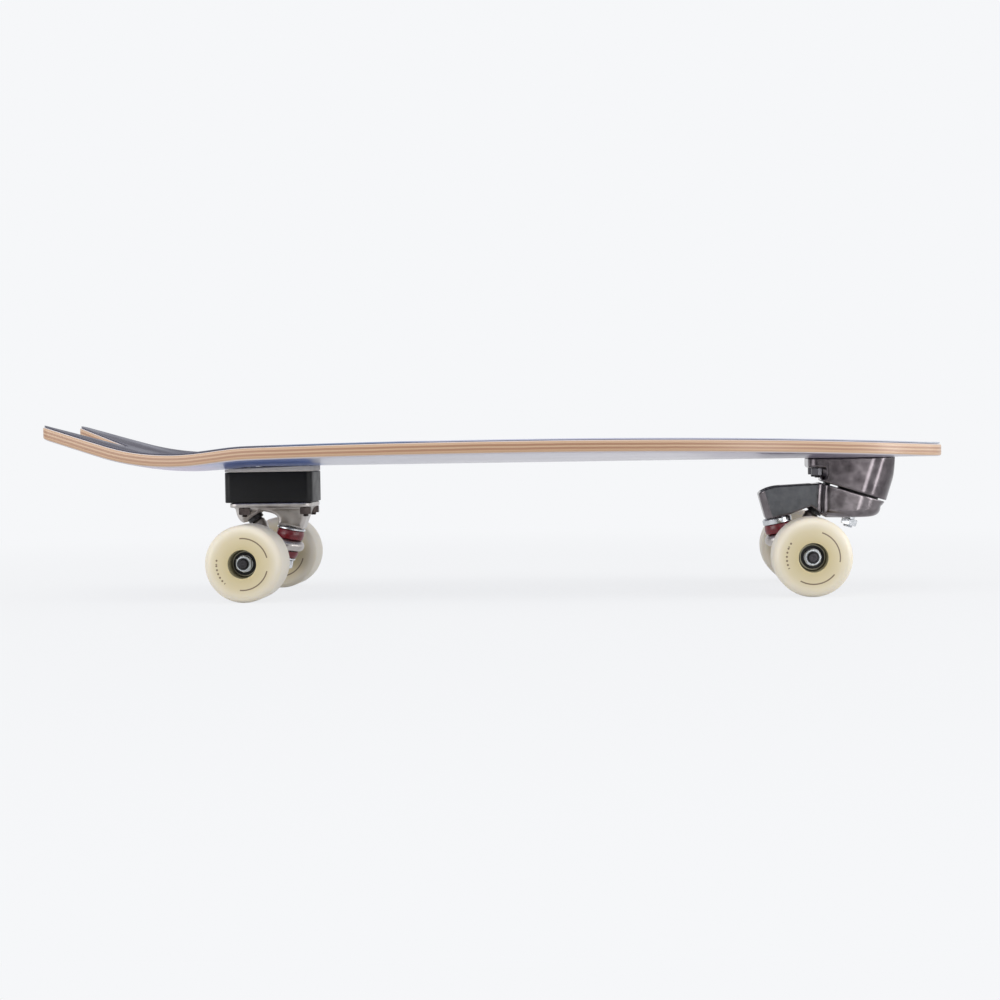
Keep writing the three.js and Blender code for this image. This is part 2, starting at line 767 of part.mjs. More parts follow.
// The cutters that a casting needs to carry the cup and the kingpin.
function truckSeats(seatHeight) {
  const outer = pivotBallRadius + 2 * fit + cupWall;
  const cupBore = revolve(
    [[0, -pivotMouth - postRadius], [outer, -pivotMouth - postRadius], ...arc(0, 0, outer, 0, Math.PI / 2)],
    fineSides,
  );
  const headFloor = seatHeight + kingpinSeatDepth;
  const shankBore = rod(kingpinRadius + fit, seatHeight - overrun, headFloor + overrun, fineSides);
  const headBore = rod(kingpinHeadRadius + 2 * fit, headFloor, headFloor + kingpinHeadAccess);
  return [
    along(cupBore, cupAxis, pivotBall),
    along(shankBore, kingpinAxis, ringCentre),
    along(headBore, kingpinAxis, ringCentre),
  ];
}

// The rear baseplate: a flange with four bolt holes, a lobe for the pivot and a lobe for
// the kingpin, with an arch between them.
function rearBaseplate() {
  const flangeBottom = flangeTopW - flangeThickness;
  const flange = plate(
    roundedRectangle(flangeBackU, flangeFrontU, flangeWidth / 2, flangeCornerRadius),
    flangeBottom,
    flangeTopW,
  );
  const mouthLow = flat(pivotPoint(pivotMouth, -pivotLobeRadius));
  const mouthHigh = flat(pivotPoint(pivotMouth, pivotLobeRadius));
  const lobeBack = flat(pivotPoint(-pivotMouth, -pivotLobeRadius - lobeRound));
  const lobeCorner = flat(pivotPoint(pivotMouth - lobeRound, -pivotLobeRadius - lobeRound));
  const seatBack = flat(kingpinPoint(rearSeatHeight, -lobeReach));
  const seatFront = flat(kingpinPoint(rearSeatHeight, lobeReach));
  const archW = archTopW + lobeRound;
  const profile = [
    [flangeBackU + lobeSetback, flangeTopW - flangeThickness / 2],
    ...curve([flangeBackU + lobeSetback, flangeBottom], lobeBack, lobeCorner, mouthLow),
    ...curve(mouthHigh, [mouthHigh[0] + archPull, archW], [seatBack[0] + archPull, archW], seatBack),
    seatFront,
    [flangeFrontU - lobeSetback, flangeBottom],
    [flangeFrontU - lobeSetback, flangeTopW - flangeThickness / 2],
  ];
  const low = kingpinPoint(rearSeatHeight).z - overrun - lobeRound;
  const front = [
    [-lobeHalfWidth + lobeDraft, low],
    [lobeHalfWidth - lobeDraft, low],
    [lobeHalfWidth, flangeTopW],
    [-lobeHalfWidth, flangeTopW],
  ];
  const crossSection = plate(front, flangeBackU, flangeFrontU).rotateX(Math.PI / 2).rotateZ(Math.PI / 2);
  const lobes = common(slice(profile, flangeWidth), crossSection);
  const hole = rod(boltRadius + fit, 0, flangeTopW + overrun, boltSides);
  const holes = boltPlaces()
    .filter((place) => place.truck === "rear")
    .map((place) => hole.clone().translate(place.x - rearAxleX, place.y, 0));
  return cut(join(flange, lobes), ...truckSeats(rearSeatHeight), ...holes);
}

// The half-round nose and straight flanks of the front drum, seen along its pin.
function drumOutline(tailReach) {
  const nose = Array.from({ length: drumSteps + 1 }, (_, i) => {
    const angle = Math.PI / 2 + (Math.PI * i) / drumSteps;
    return [drumNoseReach * Math.cos(angle), drumHalfWidth * Math.sin(angle)];
  });
  const cornerX = tailReach - drumTailRound;
  const cornerY = drumHalfWidth - drumTailRound;
  return [
    ...arc(cornerX, -cornerY, drumTailRound, -Math.PI / 2, 0, drumTailSteps),
    ...arc(cornerX, cornerY, drumTailRound, 0, Math.PI / 2, drumTailSteps),
    ...nose,
  ];
}

function swingPlate(outline, bottom, top) {
  return along(plate(outline, bottom, top), swingAxis, swingCentre);
}

function swingRod(radius, bottom, top) {
  return along(rod(radius, bottom, top), swingAxis, swingCentre);
}

// The front base: a flange under the deck and the upper drum, hollow for the spring.
function frontBase() {
  const flangeBottom = baseTopW - baseFlangeThickness;
  const tailCorner = flat(jointPoint(drumTailReach));
  const noseCorner = flat(jointPoint(-drumNoseReach - overrun));
  const profile = [
    [baseNoseU, baseTopW],
    [baseNoseU - overrun, noseCorner[1]],
    noseCorner,
    ...curve(
      tailCorner,
      [tailCorner[0] + baseFilletPull / 2, tailCorner[1] + baseFilletPull],
      [tailCorner[0] + baseFilletPull, flangeBottom],
      [baseFlangeBackU - baseCornerRadius, flangeBottom],
    ),
    [baseFlangeBackU - baseCornerRadius, baseTopW],
  ];
  const clipped = profile.map(([u, w]) => [Math.max(u, baseNoseU), w]);
  const drumLength = 2 * (baseTopW - swingW);
  const drum = common(slice(clipped, baseWidth), swingPlate(drumOutline(2 * drumTailReach), 0, drumLength));
  const topU = swingU - (baseTopW - baseFlangeThickness / 2 - swingW) * Math.tan(swingTilt);
  const flangeNose = Array.from({ length: drumSteps + 1 }, (_, i) => {
    const angle = Math.PI / 2 + (Math.PI * i) / drumSteps;
    return [topU + (topU - baseNoseU) * Math.cos(angle), (baseWidth / 2) * Math.sin(angle)];
  });
  const backArcX = baseFlangeBackU - baseCornerRadius;
  const backArcY = baseWidth / 2 - baseCornerRadius;
  const flangeOutline = [
    ...arc(backArcX, -backArcY, baseCornerRadius, -Math.PI / 2, 0),
    ...arc(backArcX, backArcY, baseCornerRadius, 0, Math.PI / 2),
    ...flangeNose,
  ];
  const flange = plate(flangeOutline, flangeBottom, baseTopW);
  const bolts = boltPlaces().filter((place) => place.truck === "front");
  const scoops = bolts
    .filter((place) => place.end === "tail")
    .map((place) => {
      const scoop = new THREE.SphereGeometry(nutScoopRadius, fineSides, fineSides / 2);
      return scoop.translate(frontAxleX - place.x, place.y, flangeBottom - nutScoopRadius * nutScoopShare);
    });
  const holes = bolts.map((place) => {
    const bottom = place.end === "nose" ? deckUnderside - axleHeight - boltThreadDepth - fit : 0;
    const hole = rod(boltRadius + fit, bottom, baseTopW + overrun, boltSides);
    return hole.translate(frontAxleX - place.x, place.y, 0);
  });
  return cut(
    join(cut(drum, ...scoops), flange),
    swingRod(springCavityRadius, -overrun, springCavityDepth),
    swingRod(pinRadius + fit, 0, drumLength),
    swingRod(pinHeadRadius + 2 * fit, pinHeadDepth, drumLength),
    ...holes,
  );
}

// The swing arm: the lower drum on the pin, and the arm that carries kingpin and pivot.
function swingArm() {
  const face = (reach) => flat(jointPoint(reach, -swingFaceGap));
  const noseTop = face(-drumNoseReach - overrun);
  const tailTop = face(drumTailReach);
  const mouthLow = flat(pivotPoint(pivotMouth, -pivotLobeRadius));
  const drumProfile = [
    tailTop,
    noseTop,
    ...curve(
      [noseTop[0] + drumBottomRound / 2, noseTop[1] - overrun],
      [noseTop[0] + drumBottomRound / 2, drumBottomW],
      [noseTop[0] + drumBottomRound, drumBottomW],
      [swingU, drumBottomW],
    ),
    [swingU + drumBottomRound, drumBottomW],
    mouthLow,
    [tailTop[0], mouthLow[1] + drumKeel],
  ];
  const drumWalls = swingPlate(drumOutline(drumTailReach), -2 * drumTailReach, 0);
  const drum = common(slice(drumProfile, drumHalfWidth), drumWalls);
  const seatBack = flat(kingpinPoint(frontSeatHeight, -lobeReach));
  const seatFront = flat(kingpinPoint(frontSeatHeight, lobeReach));
  const [insideU, insideW] = face(drumTailReach / 2);
  const armProfile = [
    [insideU, drumBottomW + overrun],
    mouthLow,
    flat(pivotPoint(pivotMouth, armWebReach)),
    seatBack,
    seatFront,
    ...curve(
      [armEndU, armEndTopW],
      [armEndU - armEndPull, armEndTopW + armEndPull],
      [armCrownU + armCrownPull, armCrownW],
      [armCrownU, armCrownW],
    ),
    [tailTop[0], armTopW],
    [insideU, insideW - overrun],
  ];
  const endAxis = new THREE.Vector3(Math.sin(armEndTilt), 0, Math.cos(armEndTilt));
  const endReach = armEndU * Math.cos(armEndTilt) - armEndTopW * Math.sin(armEndTilt);
  const armOutline = roundedRectangle(-2 * armEndU, endReach, armHalfWidth, armCornerRadius);
  const arm = common(slice(armProfile, armHalfWidth), along(plate(armOutline, 0, 2 * armTopW), endAxis));
  const bushFloor = -swingFaceGap - swingBushLength - 2 * fit;
  return cut(
    join(drum, arm),
    ...truckSeats(frontSeatHeight),
    swingRod(swingBushRadius + fit, bushFloor, 0),
    swingRod(pinThreadRadius + fit, -2 * swingNutSeat, 0),
    swingRod(swingNutPocketRadius, -2 * swingNutSeat, -swingNutSeat),
  );
}

// The swing pin: head in the base, shank in the bush and thread for the nut below.
function swingPin() {
  const shankBottom = -swingFaceGap - swingBushLength - fit;
  const tip = -swingNutSeat - fit - swingNutHeight - kingpinTip;
  const headBottom = pinHeadDepth + fit;
  const pin = revolve(
    [
      [0, tip],
      [pinThreadRadius, tip],
      [pinThreadRadius, shankBottom],
      [pinRadius, shankBottom],
      [pinRadius, headBottom],
      [pinHeadRadius, headBottom],
      [pinHeadRadius, headBottom + pinHeadHeight],
      [0, headBottom + pinHeadHeight],
    ],
    roundSides,
  );
  return along(pin, swingAxis, swingCentre);
}

// A torsion spring of round wire, wound round the pin.
function torsionSpring() {
  class Coil extends THREE.Curve {
    getPoint(share, target = new THREE.Vector3()) {
      const angle = 2 * Math.PI * springTurns * share;
      const bottom = springWire / 2 + fit - swingFaceGap;
      const top = springCavityDepth - springWire / 2 - fit;
      return target.set(
        springCoilRadius * Math.cos(angle),
        springCoilRadius * Math.sin(angle),
        bottom + (top - bottom) * share,
      );
    }
  }
  const section = new THREE.Shape().absarc(0, 0, springWire / 2, 0, 2 * Math.PI);
  const wire = new THREE.ExtrudeGeometry(section, {
    steps: springTurns * coilSteps,
    curveSegments: wireSteps,
    bevelEnabled: false,
    extrudePath: new Coil(),
  });
  return along(wire, swingAxis, swingCentre);
}

// Wheel pieces, with the local Z axis pointing outboard and the origin in the wheel's middle

function wheel() {
  const half = wheelWidth / 2;
  const seat = bearingRadius + fit;
  const shoulder = spacerLength / 2;
  const round = wheelRadius - wheelLipRadius;
  const quarter = Math.PI / 2;
  return revolve(
    [
      [seat - bearingShoulder, -shoulder],
      [seat, -shoulder],
      [seat, -wheelCore],
      [wheelRecessMouthRadius, -half],
      ...arc(round, wheelLipRadius - half, wheelLipRadius, -quarter, 0),
      ...arc(round, half - wheelLipRadius, wheelLipRadius, 0, quarter),
      [wheelRecessMouthRadius, half],
      [seat, wheelCore],
      [seat, shoulder],
      [seat - bearingShoulder, shoulder],
      [seat - bearingShoulder, -shoulder],
    ],
    wheelSides,
  );
}

// A ball bearing, shut by its shields.
function bearing(outward) {
  const bore = axleRadius + fit;
  const half = bearingWidth / 2;
  const profile = [
    [bore, -half],
    [bearingRadius, -half],
    [bearingRadius, half],
    [bearingShieldRadius, half],
    [bearingShieldRadius, half - bearingShieldDepth],
    [bearingInnerRaceRadius, half - bearingShieldDepth],
    [bearingInnerRaceRadius, half],
    [bore, half],
    [bore, -half],
  ];
  const shift = spacerLength / 2 + half;
  const geometry = revolve(profile, bearingSides);
  return outward > 0 ? geometry.translate(0, 0, shift) : geometry.rotateX(Math.PI).translate(0, 0, -shift);
}

// An axle nut with the washer that runs against the bearing.
function axleNut() {
  const washer = tube(axleRadius + fit, speedWasherRadius, 0, speedWasherThickness, fineSides);
  const nut = hexNut(axleNutFlats, axleNutHeight, axleRadius + fit).translate(0, 0, speedWasherThickness);
  return join(washer, nut);
}

// Assembly

function piece(parent, name, geometry, material) {
  const mesh = new THREE.Mesh(geometry, material);
  mesh.name = name;
  parent.add(mesh);
  return mesh;
}

// The hanger with its axle, bushings and wheels, the same on both trucks.
function buildHanger(truck, name, seatHeight, washerThickness, leftSide) {
  piece(truck, `${name}_hanger`, hanger(), finish.casting);
  const axle = along(rod(axleRadius, -axleHalfLength, axleHalfLength, fineSides), side);
  piece(truck, `${name}_axle`, axle, finish.steel);
  piece(truck, `${name}_kingpin`, kingpin(seatHeight), finish.steel);
  piece(truck, `${name}_upper_bushing`, upperBushing(), finish.bushing);
  piece(truck, `${name}_lower_bushing`, lowerBushing(), finish.bushing);
  piece(truck, `${name}_pivot_cup`, pivotCup(), finish.blackRubber);
  const upper = revolve(cupWasher(cupWasherRadius, washerThickness), roundSides).rotateX(Math.PI);
  const upperPlace = kingpinPoint(seatHeight - fit);
  piece(truck, `${name}_upper_cup_washer`, along(upper, kingpinAxis, upperPlace), finish.steel);
  const lower = revolve(cupWasher(lowerWasherRadius, lowerWasherThickness), fineSides);
  const lowerPlace = kingpinPoint(-ringThickness / 2 - lowerBushingHeight - lowerWasherThickness - 2 * fit);
  piece(truck, `${name}_lower_cup_washer`, along(lower, kingpinAxis, lowerPlace), finish.steel);
  const nut = hexNut(kingpinNutFlats, kingpinNutHeight, kingpinRadius + fit);
  const nutPlace = kingpinPoint(kingpinTip - kingpinDrop);
  piece(truck, `${name}_kingpin_nut`, along(nut, kingpinAxis, nutPlace), finish.steel);
  for (const outboard of [1, -1]) {
    const rail = outboard === leftSide ? "left" : "right";
    const place = new THREE.Group();
    place.position.y = outboard * wheelMiddleY;
    place.rotation.x = (-outboard * Math.PI) / 2;
    truck.add(place);
    piece(place, `${name}_${rail}_wheel`, wheel(), finish.urethane);
    piece(place, `${name}_${rail}_outer_bearing`, bearing(1), finish.bearingSteel);
    piece(place, `${name}_${rail}_inner_bearing`, bearing(-1), finish.bearingSteel);
    const half = spacerLength / 2 - fit;
    const bore = axleRadius + fit;
    const spacer = tube(bore, bore + spacerWall, -half, half, boltSides);
    piece(place, `${name}_${rail}_bearing_spacer`, spacer, finish.steel);
    const nutMesh = piece(place, `${name}_${rail}_axle_nut`, axleNut(), finish.steel);
    nutMesh.position.z = wheelCore + fit;
  }
}

function buildRearTruck() {
  const truck = new THREE.Group();
  truck.position.set(rearAxleX, 0, axleHeight);
  piece(truck, "rear_baseplate", rearBaseplate(), finish.casting);
  buildHanger(truck, "rear", rearSeatHeight, rearUpperWasherThickness, 1);
  return truck;
}

// The front truck is turned end for end, so that its kingpin also lies towards the middle.
function buildFrontTruck() {
  const truck = new THREE.Group();
  truck.position.set(frontAxleX, 0, axleHeight);
  truck.rotation.z = Math.PI;
  piece(truck, "front_base", frontBase(), finish.gunmetal);
  piece(truck, "front_swing_arm", swingArm(), finish.gunmetal);
  piece(truck, "front_swing_pin", swingPin(), finish.steel);
  piece(truck, "front_torsion_spring", torsionSpring(), finish.steel);
  const ring = tube(springCavityRadius + fit, thrustRingRadius, fit - swingFaceGap, -fit);
  piece(truck, "front_thrust_ring", along(ring, swingAxis, swingCentre), finish.blackRubber);
  const bushTop = -swingFaceGap - fit;
  const bush = tube(pinRadius + fit, swingBushRadius, bushTop - swingBushLength, bushTop);
  piece(truck, "front_swing_bush", along(bush, swingAxis, swingCentre), finish.bearingSteel);
  const nut = hexNut(swingNutFlats, swingNutHeight, pinThreadRadius + fit);
  const nutPlace = jointPoint(0, -swingNutSeat - fit - swingNutHeight);
  piece(truck, "front_swing_nut", along(nut, swingAxis, nutPlace), finish.steel);
  buildHanger(truck, "front", frontSeatHeight, frontUpperWasherThickness, -1);
  return truck;
}

const board = new THREE.Group();
piece(board, "deck", deck(), finish.maple);
piece(board, "grip_tape", gripTape(), finish.grip);
piece(board, "rear_shock_pad", shockPad(), finish.greyRubber);
piece(board, "rear_riser", riser(), finish.blackPlastic);
for (const place of boltPlaces()) {
  piece(board, place.name, mountingBolt(place), finish.steel);
}
board.add(buildRearTruck(), buildFrontTruck());

export default board;
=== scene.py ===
# %% [markdown]
# # A surf skateboard
#
# A surf skateboard is a short cruiser whose front truck swings sideways on an inclined pin,
# so the rider can pump it along like a surfboard. This lesson dresses a finished model of one:
# the frame holds every piece at its real size, and each step here gives one piece its surface.
# Lengths are in millimetres and become metres only when a mesh is made.

# %% Load the frame
import json
import math

import bpy
import numpy as np
from mathutils import Matrix, Vector
from mathutils.geometry import delaunay_2d_cdt


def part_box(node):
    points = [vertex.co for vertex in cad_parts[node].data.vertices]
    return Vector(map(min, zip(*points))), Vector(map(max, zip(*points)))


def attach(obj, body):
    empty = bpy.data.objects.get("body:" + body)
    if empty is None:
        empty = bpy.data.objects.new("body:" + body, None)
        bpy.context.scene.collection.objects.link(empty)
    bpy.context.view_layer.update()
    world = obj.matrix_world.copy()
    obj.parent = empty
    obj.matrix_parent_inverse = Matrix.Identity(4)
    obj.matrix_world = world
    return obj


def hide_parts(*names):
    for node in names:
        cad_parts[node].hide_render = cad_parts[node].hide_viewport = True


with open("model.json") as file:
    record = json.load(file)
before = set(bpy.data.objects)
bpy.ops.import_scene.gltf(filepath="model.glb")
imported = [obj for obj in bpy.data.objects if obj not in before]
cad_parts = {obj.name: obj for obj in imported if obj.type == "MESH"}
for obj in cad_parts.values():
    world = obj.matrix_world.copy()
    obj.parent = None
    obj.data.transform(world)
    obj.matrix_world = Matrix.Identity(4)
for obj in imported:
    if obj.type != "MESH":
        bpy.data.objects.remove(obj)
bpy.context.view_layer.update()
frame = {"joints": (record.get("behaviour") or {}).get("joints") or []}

MM = 0.001


# %% [markdown]
# ## Helpers for places and meshes
#
# A piece is built in its own plain coordinates and moved to its place by one matrix, with its
# object left at the origin. That keeps object coordinates equal to real places, so a pattern
# in a material has the same scale on every piece.

# %% Places
def cad_box_of(node):
    """The lowest and highest corner of a frame piece, in millimetres."""
    low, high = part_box(node)
    return low / MM, high / MM


def joint_place_of(name):
    """The place of a joint, in millimetres."""
    joint = next(j for j in frame["joints"] if j["name"] == name)
    return Vector(joint["pos_m"]) / MM


def at(place, axis=(0, 0, 1)):
    """The matrix that turns local Z to an axis and moves the origin to a place."""
    turn = Vector((0, 0, 1)).rotation_difference(Vector(axis))
    return Matrix.Translation(place) @ turn.to_matrix().to_4x4()


# %% Meshes
def new_piece(name, points, faces, materials, place=Matrix(), sharp_angle=35):
    """An object at the origin from points in millimetres, shaded smooth up to an angle."""
    turn = np.array(place)
    moved = (np.array(points, float) @ turn[:3, :3].T + turn[:3, 3]) * MM
    mesh = bpy.data.meshes.new(name)
    mesh.from_pydata(moved.tolist(), [], [list(map(int, face)) for face in faces])
    for material in materials:
        mesh.materials.append(material)
    mesh.shade_smooth()
    mesh.set_sharp_from_angle(angle=math.radians(sharp_angle))
    piece = bpy.data.objects.new(name, mesh)
    bpy.context.scene.collection.objects.link(piece)
    return piece


def settle(piece, body, slot, *nodes):
    """Fixes a finished piece to its body and hides the frame pieces it stands for. The slot is not used."""
    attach(piece, body)
    if nodes:
        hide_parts(*nodes)
    triangles = sum(len(polygon.vertices) - 2 for polygon in piece.data.polygons)
    print(f"{piece.name}: {triangles} triangles on {body}")
    return piece


# %% [markdown]
# ## Helpers for materials
#
# Every finish is a Principled shader. Colours are written as sRGB hex, as an eye or a paint
# chart gives them, and one function turns them into the linear numbers that light needs.

# %% Colours and nodes
def srgb(code):
    """A hex colour such as #c8966c as linear numbers, by the curve of the sRGB standard."""
    channels = [int(code[i:i + 2], 16) / 255 for i in (1, 3, 5)]
    linear = [c / 12.92 if c <= 0.04045 else ((c + 0.055) / 1.055) ** 2.4 for c in channels]
    return (*linear, 1.0)


def feed(tree, socket, value):
    """Gives a socket a value, or links it to another node's output."""
    if isinstance(value, bpy.types.NodeSocket):
        tree.links.new(value, socket)
    else:
        socket.default_value = value


def add(tree, kind, links=None, **settings):
    """Adds a node. Links maps an input to a value or to another node's output."""
    node = tree.nodes.new(kind)
    for name, value in settings.items():
        setattr(node, name, value)
    for key, value in (links or {}).items():
        feed(tree, node.inputs[key], value)
    return node


def finish_named(name, **values):
    """A new material with one Principled shader, and its node tree."""
    material = bpy.data.materials.new(name)
    material.use_nodes = True
    tree = material.node_tree
    shader = tree.nodes["Principled BSDF"]
    for key, value in values.items():
        shader.inputs[key.replace("_", " ")].default_value = value
    return material, tree, shader


def per_mm(size):
    """The scale of a texture whose features are this many millimetres across."""
    return 1 / (size * MM)


# %% [markdown]
# ## The studio
#
# The board is photographed on white, from low down and from far away, with a long lens. The
# floor and the world show one pale colour to the camera and to shiny metal. Only the floor
# close to the board also takes shadow, and that share fades out, so no horizon line shows.

# %% Camera
focal_length = 2073.8  # in pixels of a picture 1000 pixels wide
camera_place = Vector((137.6, -1814.1, 132.5))
camera_yaw = math.radians(4.199)
camera_pitch = math.radians(1.657)
camera_roll = math.radians(-0.912)
picture_width = 1000
sensor_width = 36
view_reach = 60000  # past the end of the floor

ahead = Vector((
    -math.sin(camera_yaw) * math.cos(camera_pitch),
    math.cos(camera_yaw) * math.cos(camera_pitch),
    -math.sin(camera_pitch),
))
level = Vector((math.cos(camera_yaw), math.sin(camera_yaw), 0))
upright = level.cross(ahead)
right = math.cos(camera_roll) * level + math.sin(camera_roll) * upright
above = right.cross(ahead)

camera = bpy.data.objects.new("camera", bpy.data.cameras.new("camera"))
bpy.context.scene.collection.objects.link(camera)
turn = Matrix((right, above, -ahead)).transposed().to_4x4()
camera.matrix_world = Matrix.Translation(camera_place * MM) @ turn
camera.data.sensor_width = sensor_width
camera.data.lens = focal_length * sensor_width / picture_width
camera.data.clip_end = view_reach * MM
bpy.context.scene.camera = camera
print("camera lens:", round(camera.data.lens, 1), "mm")

# %% World
def seen_by(tree, *kinds):
    """One for these kinds of ray, and nought for all others."""
    rays = add(tree, "ShaderNodeLightPath")
    seen = 0.0
    for kind in kinds:
        seen = add(tree, "ShaderNodeMath", {0: seen, 1: rays.outputs[kind]}, operation="MAXIMUM").outputs[0]
    return seen


backdrop_colour = srgb("#f6f7f9")
sky_strength = 0.75

world = bpy.data.worlds.new("studio")
bpy.context.scene.world = world
world.use_nodes = True
sky = world.node_tree
sky.nodes.clear()
seen = seen_by(sky, "Is Camera Ray", "Is Glossy Ray", "Is Transmission Ray")
lighting = add(sky, "ShaderNodeBackground", {"Color": (1, 1, 1, 1), "Strength": sky_strength})
shown = add(sky, "ShaderNodeBackground", {"Color": backdrop_colour, "Strength": 1.0})
mixed = add(sky, "ShaderNodeMixShader", {0: seen, 1: lighting.outputs[0], 2: shown.outputs[0]})
add(sky, "ShaderNodeOutputWorld", {"Surface": mixed.outputs[0]})
print("world:", world.name, "at strength", sky_strength)

# %% Floor
floor_reach = 12000
shadow_start = 450  # within this distance of the board the floor takes shadow in full
shadow_end = 1300
shadow_share = 0.15

floor_finish, tree, shader = finish_named("matt white studio floor", Roughness=0.9)
shader.inputs["Base Color"].default_value = srgb("#d6d7d9")
seen = seen_by(tree, "Is Camera Ray", "Is Glossy Ray")
where = add(tree, "ShaderNodeTexCoord")
distance = add(tree, "ShaderNodeVectorMath", {0: where.outputs["Object"]}, operation="LENGTH")
fade = add(tree, "ShaderNodeMapRange", {
    "Value": distance.outputs["Value"],
    "From Min": shadow_start * MM,
    "From Max": shadow_end * MM,
    "To Min": 1 - shadow_share,
    "To Max": 1,
}, interpolation_type="SMOOTHSTEP")
glow = add(tree, "ShaderNodeEmission", {"Color": backdrop_colour})
share = add(tree, "ShaderNodeMath", {0: seen, 1: fade.outputs[0]}, operation="MULTIPLY")
mixed = add(tree, "ShaderNodeMixShader", {0: share.outputs[0], 1: shader.outputs[0], 2: glow.outputs[0]})
tree.links.new(mixed.outputs[0], tree.nodes["Material Output"].inputs["Surface"])

corners = [(x * floor_reach, y * floor_reach, 0) for x, y in ((-1, -1), (1, -1), (1, 1), (-1, 1))]
floor = new_piece("floor", corners, [(0, 1, 2, 3)], [floor_finish])
print("floor:", 2 * floor_reach, "mm across")


# %% Lamps
def soft_box(name, place, target, width, height, power):
    """A rectangular area lamp that faces a point and stays out of the picture."""
    lamp = bpy.data.lights.new(name, "AREA")
    lamp.shape = "RECTANGLE"
    lamp.size = width * MM
    lamp.size_y = height * MM
    lamp.energy = power
    box = bpy.data.objects.new(name, lamp)
    bpy.context.scene.collection.objects.link(box)
    facing = (Vector(target) - Vector(place)).normalized()
    turn = facing.to_track_quat("-Z", "Y").to_matrix().to_4x4()
    box.matrix_world = Matrix.Translation(Vector(place) * MM) @ turn
    box.visible_camera = False
    print(f"{name}: {width} by {height} mm, {power} W")
    return box


board_middle = (0, 0, 90)
for name, place, width, height, power in (
    ("overhead softbox", (-200, -500, 1900), 2200, 1400, 12),
    ("left softbox", (-2300, -1900, 560), 1900, 1000, 20),
    ("right softbox", (3000, -350, 750), 3200, 1900, 48),
):
    soft_box(name, place, board_middle, width, height, power)

# %% [markdown]
# Polished metal shows its surroundings, so a photographer gives it something to show. Two
# slim lamps stand low beside the front truck and draw the two bright lines down its drum.
# A dark card stands in front of the board, and gives metal and black plastic the dark tones
# between those lines. Only reflections see the two lamps and the card.

# %% Strip lamps and card
drum_place = (325, -25, 85)
strip_height = 246
for name, place, width, power in (
    ("strip lamp", (490, -706, 128), 147, 0.75),
    ("slim strip lamp", (559, -186, 128), 54, 0.28),
):
    strip = soft_box(name, place, drum_place, width, strip_height, power)
    strip.visible_diffuse = False

card_finish, tree, shader = finish_named("dark grey card", Roughness=0.9)
shader.inputs["Base Color"].default_value = srgb("#141416")
card_left, card_right, card_foot, card_height, card_away = -480, 900, 2, 520, 1450
corners = [(x, -card_away, card_foot) for x in (card_left, card_right)]
corners += [(x, -card_away, card_height) for x in (card_right, card_left)]
card = new_piece("front_card", corners, [(0, 1, 2, 3)], [card_finish])
for ray in ("camera", "diffuse", "shadow", "transmission"):
    setattr(card, f"visible_{ray}", False)
bpy.context.scene.view_settings.view_transform = "Standard"


# %% [markdown]
# ## Pressed sheets
#
# The deck, its grip sheet, the riser and the shock pad are all one thing to a modeller: a
# plan outline between a lower and an upper surface, with a softened edge. The face is filled
# by a Delaunay triangulation of the outline, the bolt holes and a grid of inner points.

# %% Outlines
def arc(centre, radius, start, end, steps):
    """The points of an arc in the plan, both ends included."""
    angles = np.linspace(start, end, steps + 1)
    return np.stack([centre[0] + radius * np.cos(angles), centre[1] + radius * np.sin(angles)], axis=1)


def bezier(corners, steps):
    """The points of a cubic curve, without its first."""
    t = np.linspace(0, 1, steps + 1)[1:, None]
    a, b, c, d = (np.array(corner, float) for corner in corners)
    return (1 - t) ** 3 * a + 3 * (1 - t) ** 2 * t * b + 3 * (1 - t) * t * t * c + t ** 3 * d


def rounded_rectangle(left, right, reach, radius, steps=10):
    """A function that gives a rectangle with round corners, drawn in by an inset."""
    def outline(inset):
        quarter = math.pi / 2
        corners = ((right, reach), (left, reach), (left, -reach), (right, -reach))
        parts = []
        for turn, (x, y) in enumerate(corners):
            middle = (x - math.copysign(radius, x - (left + right) / 2), y - math.copysign(radius, y))
            parts.append(arc(middle, radius - inset, turn * quarter, (turn + 1) * quarter, steps))
        return np.concatenate(parts)
    return outline


# %% Sheets
hole_sides = 24
rim_clearance = 0.45  # inner points keep this share of the spacing from every loop
merge_distance = 1e-5


def inside(polygon, points):
    """Which points lie inside a closed polygon."""
    x, y = points[:, 0, None], points[:, 1, None]
    ax, ay = polygon[:, 0], polygon[:, 1]
    bx, by = np.roll(ax, -1), np.roll(ay, -1)
    crosses = (ay > y) != (by > y)
    with np.errstate(divide="ignore", invalid="ignore"):
        where = ax + (y - ay) * (bx - ax) / (by - ay)
    return (crosses & (x < where)).sum(axis=1) % 2 == 1


